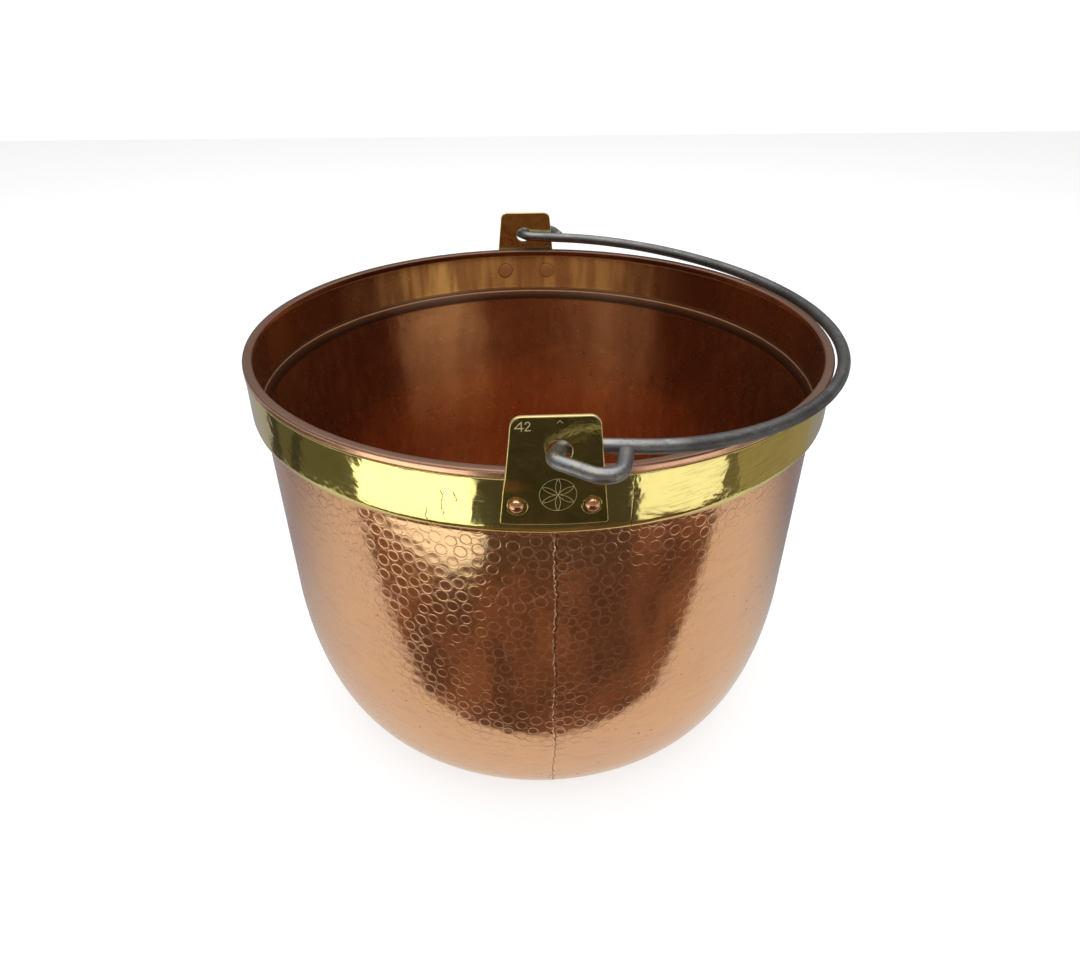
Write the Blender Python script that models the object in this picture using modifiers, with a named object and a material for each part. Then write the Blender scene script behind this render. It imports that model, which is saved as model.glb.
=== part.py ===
"""Copper cauldron with a brass rim band, two riveted brass ears and a swinging steel bail.

The cauldron stands on the plane z = 0 with its axis on Z. The ears lie towards -Y (front) and +Y (back),
and the bail is folded down towards +X. All sizes are metres.
"""

import math

import bmesh
import bpy
from mathutils import Matrix, Vector

# Clearance between neighbouring pieces
GAP = 0.0003

# Copper shell
RIM_RADIUS = 0.210
HEIGHT = 0.300
SHEET = 0.002
HEM_WIDTH = 0.0066
HEM_HEIGHT = 0.005
HEM_ROUND = 0.0011
COLLAR_LENGTH = 0.0305
SHOULDER_IN = 0.005
SHOULDER_LENGTH = 0.010
WALL_TAPER = 0.0024
CORNER_HEIGHT = 0.124
BASE_RADIUS = 0.156
TURN_STEPS = 96

# Brass band round the collar
BAND_SHEET = 0.0015
BAND_INSET = 0.0005
BAND_WRAP_DEG = 30.0
BAND_ROUND = 0.0003

# Brass ears
EAR_SHEET = 0.0025
EAR_ABOVE_RIM = 0.0336
EAR_BELOW_RIM = 0.0315
EAR_TOP_WIDTH = 0.0452
EAR_BOTTOM_WIDTH = 0.058
EAR_TOP_ROUND = 0.006
EAR_BOTTOM_ROUND = 0.0012
EAR_BEND_LENGTH = 0.012
EAR_TRIM = 0.002
HOLE_PLAY = 0.0046
HOLE_OFFSET = 0.002
HOLE_STEPS = 40

# Copper rivets, one near each lower corner of an ear
RIVET_FROM_SIDE = 0.009
RIVET_FROM_BOTTOM = 0.012
RIVET_SHANK = 0.005
RIVET_DOME_DIAMETER = 0.008
RIVET_DOME_HEIGHT = 0.0026
RIVET_DISC_DIAMETER = 0.0124
RIVET_DISC = 0.0006
RIVET_STEPS = 20

# Steel bail
ROD = 0.0084
HINGE_X = -0.002
HINGE_ABOVE_RIM = 0.0133
BAIL_DROP_DEG = 3.4
ARCH_CLEARANCE = 0.0013
ARCH_JOIN_DEG = 40.0
STRAIGHT_PAST_HOOK = 0.0045
BLEND_HANDLE = 0.037
EYE_CLEARANCE = 0.001
CROSSING_DEG = 32.0
RUN_INSIDE_EAR = 0.00175
RUN_OUTSIDE_EAR = 0.00345
OUTER_BEND_RADIUS = 0.006
LEG_DEG = 34.0
CORNER_BEND_RADIUS = 0.011
CLOSING_DEG = -76.0

# Length of the straight cutters through an ear, and the angle from which an edge is drawn sharp
CUTTER_LENGTH = 0.03
SHARP_DEG = 35.0

# Values that follow from the driving sizes
COLLAR_RADIUS = RIM_RADIUS - BAND_INSET - BAND_SHEET - GAP
SHOULDER_TOP = HEIGHT - HEM_HEIGHT - COLLAR_LENGTH
EAR_INNER_RADIUS = RIM_RADIUS + GAP
EAR_MIDDLE = EAR_INNER_RADIUS + EAR_SHEET / 2
HINGE_Z = HEIGHT + HINGE_ABOVE_RIM
ROD_RADIUS = ROD / 2

# Colour and roughness of each metal
COPPER = (0.72, 0.36, 0.22, 1.0), 0.28
BRASS = (0.73, 0.60, 0.22, 1.0), 0.22
DARK_BRASS = (0.55, 0.44, 0.15, 1.0), 0.30
STEEL = (0.36, 0.37, 0.38, 1.0), 0.42


def clear_scene():
    for obj in list(bpy.data.objects):
        bpy.data.objects.remove(obj, do_unlink=True)


def new_collection(name):
    collection = bpy.data.collections.new(name)
    bpy.context.scene.collection.children.link(collection)
    return collection


def add_object(name, data, collection):
    obj = bpy.data.objects.new(name, data)
    collection.objects.link(obj)
    return obj


def metal(name, look):
    colour, roughness = look
    material = bpy.data.materials.new(name)
    material.use_nodes = True
    shader = material.node_tree.nodes["Principled BSDF"]
    shader.inputs["Base Color"].default_value = colour
    shader.inputs["Roughness"].default_value = roughness
    shader.inputs["Metallic"].default_value = 1.0
    return material


def apply_modifiers(obj):
    """Keep the shape that the modifiers give as the object's own mesh, with its sharp edges marked."""
    graph = bpy.context.evaluated_depsgraph_get()
    mesh = bpy.data.meshes.new_from_object(obj.evaluated_get(graph))
    obj.modifiers.clear()
    obj.data = mesh
    mesh.shade_smooth()
    mesh.set_sharp_from_angle(angle=math.radians(SHARP_DEG))


def arc(centre, radii, start_deg, end_deg, segments):
    """Points (radius, height) on an elliptic arc, both ends included."""
    points = []
    for i in range(segments + 1):
        angle = math.radians(start_deg + (end_deg - start_deg) * i / segments)
        points.append((centre[0] + radii[0] * math.cos(angle), centre[1] + radii[1] * math.sin(angle)))
    return points


def turned(name, profile, steps, collection, closed=False):
    """A solid of revolution about Z from a profile of (radius, height) points, outer side top to bottom."""
    shape = bmesh.new()
    verts = [shape.verts.new((radius, 0.0, height)) for radius, height in profile]
    for first, second in zip(verts, verts[1:]):
        shape.edges.new((first, second))
    if closed:
        shape.edges.new((verts[-1], verts[0]))
    mesh = bpy.data.meshes.new(name)
    shape.to_mesh(mesh)
    shape.free()
    obj = add_object(name, mesh, collection)
    screw = obj.modifiers.new("Turn", "SCREW")
    screw.axis = "Z"
    screw.steps = steps
    screw.render_steps = steps
    screw.use_merge_vertices = True
    screw.merge_threshold = 0.00001
    return obj


def shoulder_arc():
    """Radius and sweep, in degrees, of the two equal arcs that make the S of the shoulder."""
    sweep = 2 * math.atan(SHOULDER_IN / SHOULDER_LENGTH)
    return SHOULDER_LENGTH / 2 / math.sin(sweep), math.degrees(sweep)


def shell_outside():
    """Outer side of the copper sheet from under the hem down to the middle of the base."""
    radius, sweep = shoulder_arc()
    upper = arc((COLLAR_RADIUS - radius, SHOULDER_TOP), (radius, radius), 0.0, -sweep, 3)
    wall_radius = COLLAR_RADIUS - SHOULDER_IN
    wall_top = SHOULDER_TOP - SHOULDER_LENGTH
    lower = arc((wall_radius + radius, wall_top), (radius, radius), 180.0 - sweep, 180.0, 3)
    corner_width = wall_radius - WALL_TAPER - BASE_RADIUS
    corner = arc((BASE_RADIUS, CORNER_HEIGHT), (corner_width, CORNER_HEIGHT), 0.0, -90.0, 10)
    return [(COLLAR_RADIUS, HEIGHT - HEM_HEIGHT)] + upper + lower[1:] + corner + [(0.0, 0.0)]


def offset_inward(points, distance):
    """The same line moved inward, square to itself, with mitred corners."""
    moved = []
    for i, point in enumerate(points):
        here = Vector(point)
        before = here - Vector(points[i - 1]) if i else None
        after = Vector(points[i + 1]) - here if i + 1 < len(points) else None
        before = before or after
        after = after or before
        normal_before = Vector((before.y, -before.x)).normalized()
        normal_after = Vector((after.y, -after.x)).normalized()
        mitre = (normal_before + normal_after).normalized()
        moved.append(tuple(here + mitre * distance / mitre.dot(normal_before)))
    return moved


def build_shell(collection):
    """One copper sheet: flat base, bellied wall, shoulder, collar and the hem that is rolled over at the rim."""
    outside = shell_outside()
    inside = offset_inward(outside, SHEET)
    inside.reverse()
    hem_bottom = HEIGHT - HEM_HEIGHT
    hem_inside = RIM_RADIUS - HEM_WIDTH
    inner_corner = (hem_inside + HEM_ROUND, HEIGHT - HEM_ROUND)
    outer_corner = (RIM_RADIUS - HEM_ROUND, HEIGHT - HEM_ROUND)
    lower_corner = (RIM_RADIUS - HEM_ROUND, hem_bottom + HEM_ROUND)
    rounding = (HEM_ROUND, HEM_ROUND)
    hem = [(hem_inside, hem_bottom)]
    hem += arc(inner_corner, rounding, 180.0, 90.0, 3)
    hem += arc(outer_corner, rounding, 90.0, 0.0, 3)
    hem += arc(lower_corner, rounding, 0.0, -90.0, 2)
    return turned("kettle_shell", inside + hem + outside, TURN_STEPS, collection)


def build_band(collection):
    """Brass hoop that lies on the collar, from under the hem to the first bend of the shoulder."""
    radius, _ = shoulder_arc()
    centre = (COLLAR_RADIUS - radius, SHOULDER_TOP)
    inner = radius + GAP
    outer = inner + BAND_SHEET
    edge = math.degrees(BAND_ROUND / outer)
    top = HEIGHT - HEM_HEIGHT - GAP
    outer_radius = centre[0] + outer
    profile = [(outer_radius - BAND_ROUND, top), (outer_radius, top - BAND_ROUND)]
    profile += arc(centre, (outer, outer), 0.0, edge - BAND_WRAP_DEG, 4)
    rounded = outer - BAND_ROUND
    profile += arc(centre, (rounded, rounded), -BAND_WRAP_DEG, 0.0, 1)[:1]
    profile += arc(centre, (inner, inner), -BAND_WRAP_DEG, 0.0, 3)
    profile += [(centre[0] + inner, top)]
    return turned("rim_band", profile, TURN_STEPS, collection, closed=True)


def ear_outline():
    """Outline of an ear as (across, height above the rim): a trapezium with round corners."""
    corners = [
        (-EAR_BOTTOM_WIDTH / 2, -EAR_BELOW_RIM, EAR_BOTTOM_ROUND),
        (EAR_BOTTOM_WIDTH / 2, -EAR_BELOW_RIM, EAR_BOTTOM_ROUND),
        (EAR_TOP_WIDTH / 2, EAR_ABOVE_RIM, EAR_TOP_ROUND),
        (-EAR_TOP_WIDTH / 2, EAR_ABOVE_RIM, EAR_TOP_ROUND),
    ]
    segments = 6
    points = []
    for i, (across, height, rounding) in enumerate(corners):
        here = Vector((across, height))
        to_last = (Vector(corners[i - 1][:2]) - here).normalized()
        to_next = (Vector(corners[(i + 1) % 4][:2]) - here).normalized()
        half = to_last.angle(to_next) / 2
        centre = here + (to_last + to_next).normalized() * rounding / math.sin(half)
        start = here + to_last * rounding / math.tan(half) - centre
        sweep = math.pi - 2 * half
        for k in range(segments + 1):
            points.append(tuple(centre + Matrix.Rotation(sweep * k / segments, 2) @ start))
    return points


def prism(name, outline, depth, collection):
    """A straight cutter along Y from an outline of (x, z) points."""
    shape = bmesh.new()
    front = [shape.verts.new((x, -depth / 2, z)) for x, z in outline]
    face = shape.faces.new(front)
    moved = bmesh.ops.extrude_face_region(shape, geom=[face])
    back = [item for item in moved["geom"] if isinstance(item, bmesh.types.BMVert)]
    bmesh.ops.translate(shape, verts=back, vec=(0.0, depth, 0.0))
    bmesh.ops.recalc_face_normals(shape, faces=shape.faces)
    mesh = bpy.data.meshes.new(name)
    shape.to_mesh(mesh)
    shape.free()
    return hide_cutter(add_object(name, mesh, collection))


def hide_cutter(obj):
    obj.hide_render = True
    obj.display_type = "WIRE"
    return obj


def cut(obj, tool, operation="DIFFERENCE"):
    modifier = obj.modifiers.new(tool.name, "BOOLEAN")
    modifier.operation = operation
    modifier.object = tool


def ear_centre(side):
    """Where the middle of an ear lies across the cauldron. Side is -1 at the front and 1 at the back."""
    return HINGE_X + side * HOLE_OFFSET


def build_ear(name, side, collection, cutters):
    """Brass plate that stands flat above the rim and is bent to the round of the band below it."""
    half = EAR_BOTTOM_WIDTH / 2 + EAR_TRIM
    low = -EAR_BELOW_RIM - EAR_TRIM
    high = EAR_ABOVE_RIM + EAR_TRIM
    shape = bmesh.new()
    bmesh.ops.create_grid(shape, x_segments=12, y_segments=14, size=1.0)
    for vert in shape.verts:
        across = vert.co.x * half
        height = low + (high - low) * (vert.co.y + 1.0) / 2.0
        bend = min(max(-height / EAR_BEND_LENGTH, 0.0), 1.0)
        bend = bend * bend * (3.0 - 2.0 * bend)
        x = ear_centre(side) + across
        round_distance = math.sqrt(EAR_INNER_RADIUS**2 - x * x)
        out = EAR_INNER_RADIUS * (1.0 - bend) + round_distance * bend
        vert.co = (x, side * out, HEIGHT + height)
    if side > 0:
        bmesh.ops.reverse_faces(shape, faces=shape.faces)
    mesh = bpy.data.meshes.new(name)
    shape.to_mesh(mesh)
    shape.free()
    obj = add_object(name, mesh, collection)
    plate = obj.modifiers.new("Plate", "SOLIDIFY")
    plate.thickness = EAR_SHEET
    plate.offset = 1.0
    outline = prism(name + "_outline", ear_outline(), CUTTER_LENGTH, cutters)
    outline.location = (ear_centre(side), side * EAR_MIDDLE, HEIGHT)
    cut(obj, outline, "INTERSECT")
    return obj


def build_hole_cutter(side, cutters):
    """Straight round bore for the bail."""
    shape = bmesh.new()
    radius = (ROD + HOLE_PLAY) / 2
    bmesh.ops.create_cone(
        shape,
        cap_ends=True,
        segments=HOLE_STEPS,
        radius1=radius,
        radius2=radius,
        depth=CUTTER_LENGTH,
        matrix=Matrix.Rotation(math.pi / 2, 4, "X"),
    )
    name = "hole_front" if side < 0 else "hole_back"
    mesh = bpy.data.meshes.new(name)
    shape.to_mesh(mesh)
    shape.free()
    obj = hide_cutter(add_object(name, mesh, cutters))
    obj.location = (HINGE_X, side * EAR_MIDDLE, HINGE_Z)
    return obj


def rivet_places():
    """Name and angle about Z of each rivet, the angle measured from +X."""
    places = []
    for side, ear in ((-1, "front"), (1, "back")):
        for hand, end in ((-1, "left"), (1, "right")):
            across = ear_centre(side) + hand * (EAR_BOTTOM_WIDTH / 2 - RIVET_FROM_SIDE)
            away = side * math.sqrt(EAR_INNER_RADIUS**2 - across**2)
            places.append((f"rivet_{ear}_{end}", side, math.atan2(away, across)))
    return places


def radial_matrix(angle):
    """Local Z points outward from the axis at this angle, with local X along the cauldron's Z."""
    height = HEIGHT - EAR_BELOW_RIM + RIVET_FROM_BOTTOM
    lay_out = Matrix.Rotation(angle, 4, "Z") @ Matrix.Rotation(math.pi / 2, 4, "Y")
    return Matrix.Translation((0.0, 0.0, height)) @ lay_out


def rivet_levels():
    """Distances from the cauldron's axis: inner face of the disc, its back, seat of the dome."""
    inner_face = COLLAR_RADIUS - SHEET
    return inner_face, inner_face + RIVET_DISC, EAR_INNER_RADIUS + EAR_SHEET + GAP


def build_rivet(name, angle, collection):
    """Domed head outside, shank through ear, band and collar, and a thin disc let in flush inside."""
    inner_face, disc_back, seat = rivet_levels()
    shank = RIVET_SHANK / 2
    disc = RIVET_DISC_DIAMETER / 2
    dome = arc((0.0, seat), (RIVET_DOME_DIAMETER / 2, RIVET_DOME_HEIGHT), 90.0, 0.0, 5)
    dome[0] = (0.0, seat + RIVET_DOME_HEIGHT)
    shaft = [(shank, seat), (shank, disc_back), (disc, disc_back), (disc, inner_face), (0.0, inner_face)]
    obj = turned(name, dome + shaft, RIVET_STEPS, collection)
    obj.matrix_world = radial_matrix(angle)
    return obj


def build_rivet_cutter(name, angle, cutters):
    """Bore for the shank, and the shallow round seat for the disc on the inside of the collar."""
    inner_face, disc_back, seat = rivet_levels()
    bore = RIVET_SHANK / 2 + GAP
    sink = RIVET_DISC_DIAMETER / 2 + GAP
    floor = disc_back + GAP
    start = inner_face - SHEET
    end = seat + EAR_SHEET
    profile = [(0.0, end), (bore, end), (bore, floor), (sink, floor), (sink, start), (0.0, start)]
    obj = hide_cutter(turned(name + "_bore", profile, RIVET_STEPS, cutters))
    obj.matrix_world = radial_matrix(angle)
    return obj


def walk(place, heading, moves):
    """Follow straights and bends from a place, in the bail's plane. Headings are degrees, 90 is outward."""
    points = [place]
    for kind, amount, radius in moves:
        if kind == "straight":
            direction = Vector((math.cos(math.radians(heading)), math.sin(math.radians(heading))))
            points.append(points[-1] + direction * amount)
            continue
        hand = math.copysign(1.0, amount)
        facing = math.radians(heading + 90.0 * hand)
        centre = points[-1] + Vector((math.cos(facing), math.sin(facing))) * radius
        arm = points[-1] - centre
        segments = math.ceil(abs(amount) / 12.0)
        for k in range(1, segments + 1):
            points.append(centre + Matrix.Rotation(math.radians(amount) * k / segments, 2) @ arm)
        heading += amount
    return points


def inside_offset():
    """Distance of the rod's line inside the middle of the ear."""
    return EAR_SHEET / 2 + EYE_CLEARANCE + ROD_RADIUS


def ear_reach():
    """How far the ear reaches from the hinge, above it."""
    reach = 0.0
    for across, height in ear_outline():
        if height > HINGE_ABOVE_RIM:
            shifted = abs(across) + HOLE_OFFSET
            reach = max(reach, math.hypot(shifted, height - HINGE_ABOVE_RIM))
    return reach


def eye_points():
    """The hook at one end of the bail, as (reach, outward) from the hinge, from its closed end to the inside."""
    crossing = 90.0 + CROSSING_DEG
    outer_bend = LEG_DEG - crossing
    corner_bend = CLOSING_DEG - LEG_DEG
    run_outside = EAR_SHEET / 2 + RUN_OUTSIDE_EAR
    run_inside = EAR_SHEET / 2 + RUN_INSIDE_EAR

    def outer_moves(leg, closing):
        return [
            ("straight", run_outside, 0.0),
            ("bend", outer_bend, OUTER_BEND_RADIUS),
            ("straight", leg, 0.0),
            ("bend", corner_bend, CORNER_BEND_RADIUS),
            ("straight", closing, 0.0),
        ]

    origin = Vector((0.0, 0.0))
    slope = math.radians(-CLOSING_DEG)
    leg_angle = math.radians(LEG_DEG)
    needed = ear_reach() + (ROD_RADIUS + GAP) / math.sin(slope)
    turned_in = walk(origin, crossing, outer_moves(0.0, 0.0))[-1]
    reached = turned_in.x + turned_in.y / math.tan(slope)
    gain = math.cos(leg_angle) + math.sin(leg_angle) / math.tan(slope)
    leg = (needed - reached) / gain
    turned_in = walk(origin, crossing, outer_moves(leg, 0.0))[-1]
    stop = ROD_RADIUS * (1.0 + math.cos(slope)) + GAP - inside_offset()
    closing = (turned_in.y - stop) / math.sin(slope)
    outer = walk(origin, crossing, outer_moves(leg, closing))

    drop = run_inside * math.cos(math.radians(CROSSING_DEG))
    inner_turn = 90.0 - CROSSING_DEG
    inner_radius = (inside_offset() - drop) / (1.0 - math.cos(math.radians(inner_turn)))
    inner_moves = [("straight", run_inside, 0.0), ("bend", inner_turn, inner_radius)]
    inner = walk(origin, crossing - 180.0, inner_moves)
    return outer[::-1] + inner[1:]


def bail_half():
    """Points of half the bail in its own plane, (reach, y), from the closed end of the front hook to the top."""
    points = [Vector((point.x, -EAR_MIDDLE - point.y)) for point in eye_points()]
    inside_y = -EAR_MIDDLE + inside_offset()
    centre_x = -HINGE_X
    arch_radius = RIM_RADIUS + ROD_RADIUS + ARCH_CLEARANCE
    join = math.radians(ARCH_JOIN_DEG)
    start = Vector((points[0].x + STRAIGHT_PAST_HOOK, inside_y))
    end = Vector((centre_x + arch_radius * math.sin(join), -arch_radius * math.cos(join)))
    start_handle = start + Vector((BLEND_HANDLE, 0.0))
    end_handle = end - Vector((math.cos(join), math.sin(join))) * BLEND_HANDLE
    blend_segments = 9
    for k in range(blend_segments):
        t = k / blend_segments
        weights = ((1 - t) ** 3, 3 * t * (1 - t) ** 2, 3 * t * t * (1 - t), t**3)
        pairs = zip(weights, (start, start_handle, end_handle, end))
        points.append(sum((weight * point for weight, point in pairs), Vector((0.0, 0.0))))
    arch_segments = 14
    for k in range(arch_segments + 1):
        angle = join + (math.pi / 2 - join) * k / arch_segments
        points.append(Vector((centre_x + arch_radius * math.sin(angle), -arch_radius * math.cos(angle))))
    return points


def build_bail(collection):
    """One round rod: an arch with a closed hook at each end, hung through the holes of the ears."""
    half = bail_half()
    line = [(point.x, point.y) for point in half]
    line += [(x, -y) for x, y in line[-2::-1]]
    curve = bpy.data.curves.new("bail", "CURVE")
    curve.dimensions = "3D"
    curve.bevel_depth = ROD_RADIUS
    curve.bevel_resolution = 4
    curve.use_fill_caps = True
    spline = curve.splines.new("POLY")
    spline.points.add(len(line) - 1)
    for point, (x, y) in zip(spline.points, line):
        point.co = (x, y, 0.0, 1.0)
    obj = add_object("bail", curve, collection)
    obj.location = (HINGE_X, 0.0, HINGE_Z)
    obj.rotation_euler = (0.0, math.radians(BAIL_DROP_DEG), 0.0)
    return obj


def main():
    clear_scene()
    pieces = new_collection("copper_cauldron")
    cutters = new_collection("cutters")

    shell = build_shell(pieces)
    band = build_band(pieces)
    ears = {-1: build_ear("ear_front", -1, pieces, cutters), 1: build_ear("ear_back", 1, pieces, cutters)}
    for side, ear in ears.items():
        cut(ear, build_hole_cutter(side, cutters))

    rivets = []
    for name, side, angle in rivet_places():
        rivets.append(build_rivet(name, angle, pieces))
        bore = build_rivet_cutter(name, angle, cutters)
        for pierced in (shell, band, ears[side]):
            cut(pierced, bore)
    bail = build_bail(pieces)

    bpy.context.view_layer.update()
    for obj in (shell, band, *ears.values(), *rivets):
        apply_modifiers(obj)

    shell.data.materials.append(metal("beaten copper", COPPER))
    band.data.materials.append(metal("polished brass", BRASS))
    ear_brass = metal("ear brass", DARK_BRASS)
    for ear in ears.values():
        ear.data.materials.append(ear_brass)
    rivet_copper = metal("rivet copper", COPPER)
    for rivet in rivets:
        rivet.data.materials.append(rivet_copper)
    bail.data.materials.append(metal("bare steel", STEEL))


main()
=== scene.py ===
# %% [markdown]
# # A beaten copper cauldron
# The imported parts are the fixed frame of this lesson. Each cell after this one dresses one piece of the
# cauldron: the hammered wall, the lining, the rolled hem, the brass band, the ears, their rivets and the
# steel bail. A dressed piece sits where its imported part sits, so every size here comes from those parts.

import math

import bpy
import numpy as np
from mathutils import Matrix, Vector


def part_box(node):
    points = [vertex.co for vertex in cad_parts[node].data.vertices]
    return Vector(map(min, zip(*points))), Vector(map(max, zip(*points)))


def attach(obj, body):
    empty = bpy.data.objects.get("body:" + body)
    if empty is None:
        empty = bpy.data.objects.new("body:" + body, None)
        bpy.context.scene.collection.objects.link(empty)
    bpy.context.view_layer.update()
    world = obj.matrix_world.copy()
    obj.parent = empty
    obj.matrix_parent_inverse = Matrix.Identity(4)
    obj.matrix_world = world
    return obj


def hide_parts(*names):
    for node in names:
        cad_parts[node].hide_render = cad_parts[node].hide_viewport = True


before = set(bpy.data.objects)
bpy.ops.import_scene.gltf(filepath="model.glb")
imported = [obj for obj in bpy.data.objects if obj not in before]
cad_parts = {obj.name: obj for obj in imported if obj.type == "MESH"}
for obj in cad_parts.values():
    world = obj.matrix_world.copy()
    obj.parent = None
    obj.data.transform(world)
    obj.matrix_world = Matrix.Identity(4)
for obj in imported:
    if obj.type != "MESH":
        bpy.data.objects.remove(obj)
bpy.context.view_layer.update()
print("packed parts:", ", ".join(sorted(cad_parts)))

# %% [markdown]
# ## Sizes
# A tinsmith's drawing of a kettle is half of a section: a line of radius against height. The wall, the
# lining and the band all come from that one line, so its sizes are named once and the rest follows.
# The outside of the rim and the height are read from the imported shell, so they cannot drift from it.

# %% Sizes of the kettle, in metres
_, shell_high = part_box("kettle_shell")
RIM_RADIUS = shell_high.x
HEIGHT = shell_high.z
SHEET = 0.002
HEM_WIDTH = 0.0066
HEM_HEIGHT = 0.005
BAND_SHEET = 0.0015
BAND_INSET = 0.0005
GAP = 0.0003
SHOULDER_IN = 0.005
SHOULDER_LENGTH = 0.010
WALL_TAPER = 0.0024
CORNER_HEIGHT = 0.124
BASE_RADIUS = 0.156
HINGE_X = -0.002
HOLE_OFFSET = 0.002
RIVET_SPREAD = 0.020
RIVET_BELOW_RIM = 0.0195
COLLAR_LENGTH = 0.0305
RIVET_HEIGHT = HEIGHT - RIVET_BELOW_RIM
COLLAR_RADIUS = RIM_RADIUS - BAND_INSET - BAND_SHEET - GAP
COLLAR_TOP = HEIGHT - HEM_HEIGHT
SHOULDER_TOP = COLLAR_TOP - COLLAR_LENGTH
WALL_RADIUS = COLLAR_RADIUS - SHOULDER_IN
WALL_TOP = SHOULDER_TOP - SHOULDER_LENGTH
SWEEP = 2 * math.atan(SHOULDER_IN / SHOULDER_LENGTH)
BEND = SHOULDER_LENGTH / 2 / math.sin(SWEEP)
print(f"rim {2000 * RIM_RADIUS:.1f} mm across, {1000 * HEIGHT:.1f} mm high")

# %% [markdown]
# ## Tools for node trees
# A material or a geometry tree is a sum written with boxes and wires. Placing each Math node by hand hides
# the sum, so a `Wire` here wraps one socket and takes Python's own operators: `1 - depth * 2` adds the two
# Math nodes by itself. A `Bench` is the tree being wired. Its method `add` makes any node from its type,
# its settings and what goes into its sockets, and the other methods give short names to the usual nodes.

# %% Wires and benches
def pick(sockets, key):
    """The socket of this name or number among those that the node's settings leave in use."""
    live = [socket for socket in sockets if socket.enabled]
    if isinstance(key, int):
        return live[key]
    return next(socket for socket in live if socket.name == key)


class Wire:
    """One value in a node tree."""

    def __init__(self, bench, socket):
        self.bench = bench
        self.socket = socket

    def __add__(self, other):
        return self.bench.sum("ADD", self, other)

    def __radd__(self, other):
        return self.bench.sum("ADD", other, self)

    def __sub__(self, other):
        return self.bench.sum("SUBTRACT", self, other)

    def __rsub__(self, other):
        return self.bench.sum("SUBTRACT", other, self)

    def __mul__(self, other):
        return self.bench.sum("MULTIPLY", self, other)

    def __rmul__(self, other):
        return self.bench.sum("MULTIPLY", other, self)

    def __truediv__(self, other):
        return self.bench.sum("DIVIDE", self, other)

    def __pow__(self, other):
        return self.bench.sum("POWER", self, other)

    def __abs__(self):
        return self.bench.sum("ABSOLUTE", self)

    def least(self, other):
        return self.bench.sum("MINIMUM", self, other)

    def most(self, other):
        return self.bench.sum("MAXIMUM", self, other)

    def eased(self, low, high):
        """0 up to low and 1 from high on, with a soft change between the two."""
        ends = {"Value": self, "From Min": low, "From Max": high}
        return self.bench.add("ShaderNodeMapRange", {"interpolation_type": "SMOOTHSTEP"}, ends)

    def near(self, middle, width):
        """1 at the middle, falling softly to 0 at this distance from it."""
        return 1 - abs(self - middle).eased(0.0, width)


class Bench:
    """A node tree that is being wired."""

    def __init__(self, tree):
        self.tree = tree

    def add(self, kind, settings=None, sockets=None, out=0):
        node = self.tree.nodes.new(kind)
        for name, value in (settings or {}).items():
            setattr(node, name, value)
        for key, value in (sockets or {}).items():
            self.plug(pick(node.inputs, key), value)
        return Wire(self, pick(node.outputs, out))

    def plug(self, socket, value):
        if isinstance(value, Wire):
            self.tree.links.new(value.socket, socket)
        elif isinstance(value, tuple) and socket.type == "RGBA":
            socket.default_value = (*value, 1.0)[:4]
        else:
            socket.default_value = value

    def sum(self, operation, *values):
        return self.add("ShaderNodeMath", {"operation": operation}, dict(enumerate(values)))

    def vector(self, operation, *values):
        return self.add("ShaderNodeVectorMath", {"operation": operation}, dict(enumerate(values)))

    def blend(self, share, first, second):
        sockets = {"Factor": share, "A": first, "B": second}
        return self.add("ShaderNodeMix", {"data_type": "RGBA"}, sockets)

    def coats(self, colour, *layers):
        """A colour with coats over it, each given as its share and its own colour."""
        for share, coat in layers:
            colour = self.blend(share, colour, coat)
        return colour

    def noise(self, place, scale, detail=2.0, roughness=0.5, distortion=0.0):
        sockets = {"Vector": place, "Scale": scale, "Detail": detail}
        sockets.update({"Roughness": roughness, "Distortion": distortion})
        return self.add("ShaderNodeTexNoise", None, sockets)

    def stretched(self, place, factors):
        return self.add("ShaderNodeMapping", None, {"Vector": place, "Scale": factors})

    def attribute(self, name):
        return self.add("ShaderNodeAttribute", {"attribute_name": name}, out="Fac")

    def named(self, name):
        """A stored number, in a geometry tree."""
        return self.add("GeometryNodeInputNamedAttribute", {"data_type": "FLOAT"}, {"Name": name})

    def own_place(self):
        """Where a point lies in the object's own frame."""
        return self.add("ShaderNodeTexCoord", out="Object")

    def axes(self, place):
        """The X, Y and Z of a place."""
        parts = self.add("ShaderNodeSeparateXYZ", None, {"Vector": place}).socket.node.outputs
        return [Wire(self, part) for part in parts]

    def joined(self, x, y, z=0.0):
        """One place from its X, Y and Z."""
        return self.add("ShaderNodeCombineXYZ", None, {"X": x, "Y": y, "Z": z})

    def bump(self, height, strength=1.0):
        return self.add("ShaderNodeBump", None, {"Strength": strength, "Distance": 1.0, "Height": height})

    def off_surface(self, amount):
        """A move of this length along the surface's normal."""
        return self.vector("SCALE", self.add("GeometryNodeInputNormal"), amount)


def new_finish(name):
    """A material, the bench of its tree, and a function that sets its metal surface."""
    material = bpy.data.materials.new(name)
    material.use_nodes = True
    bench = Bench(material.node_tree)
    surface = material.node_tree.nodes["Principled BSDF"]
    surface.inputs["Metallic"].default_value = 1.0

    def finish(**values):
        for key, value in values.items():
            bench.plug(surface.inputs[key.replace("_", " ")], value)
        return material

    return bench, finish


print("benches ready")

# %% Geometry trees with named sizes
SOCKETS = {float: "NodeSocketFloat", int: "NodeSocketInt", bpy.types.Object: "NodeSocketObject"}


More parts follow.
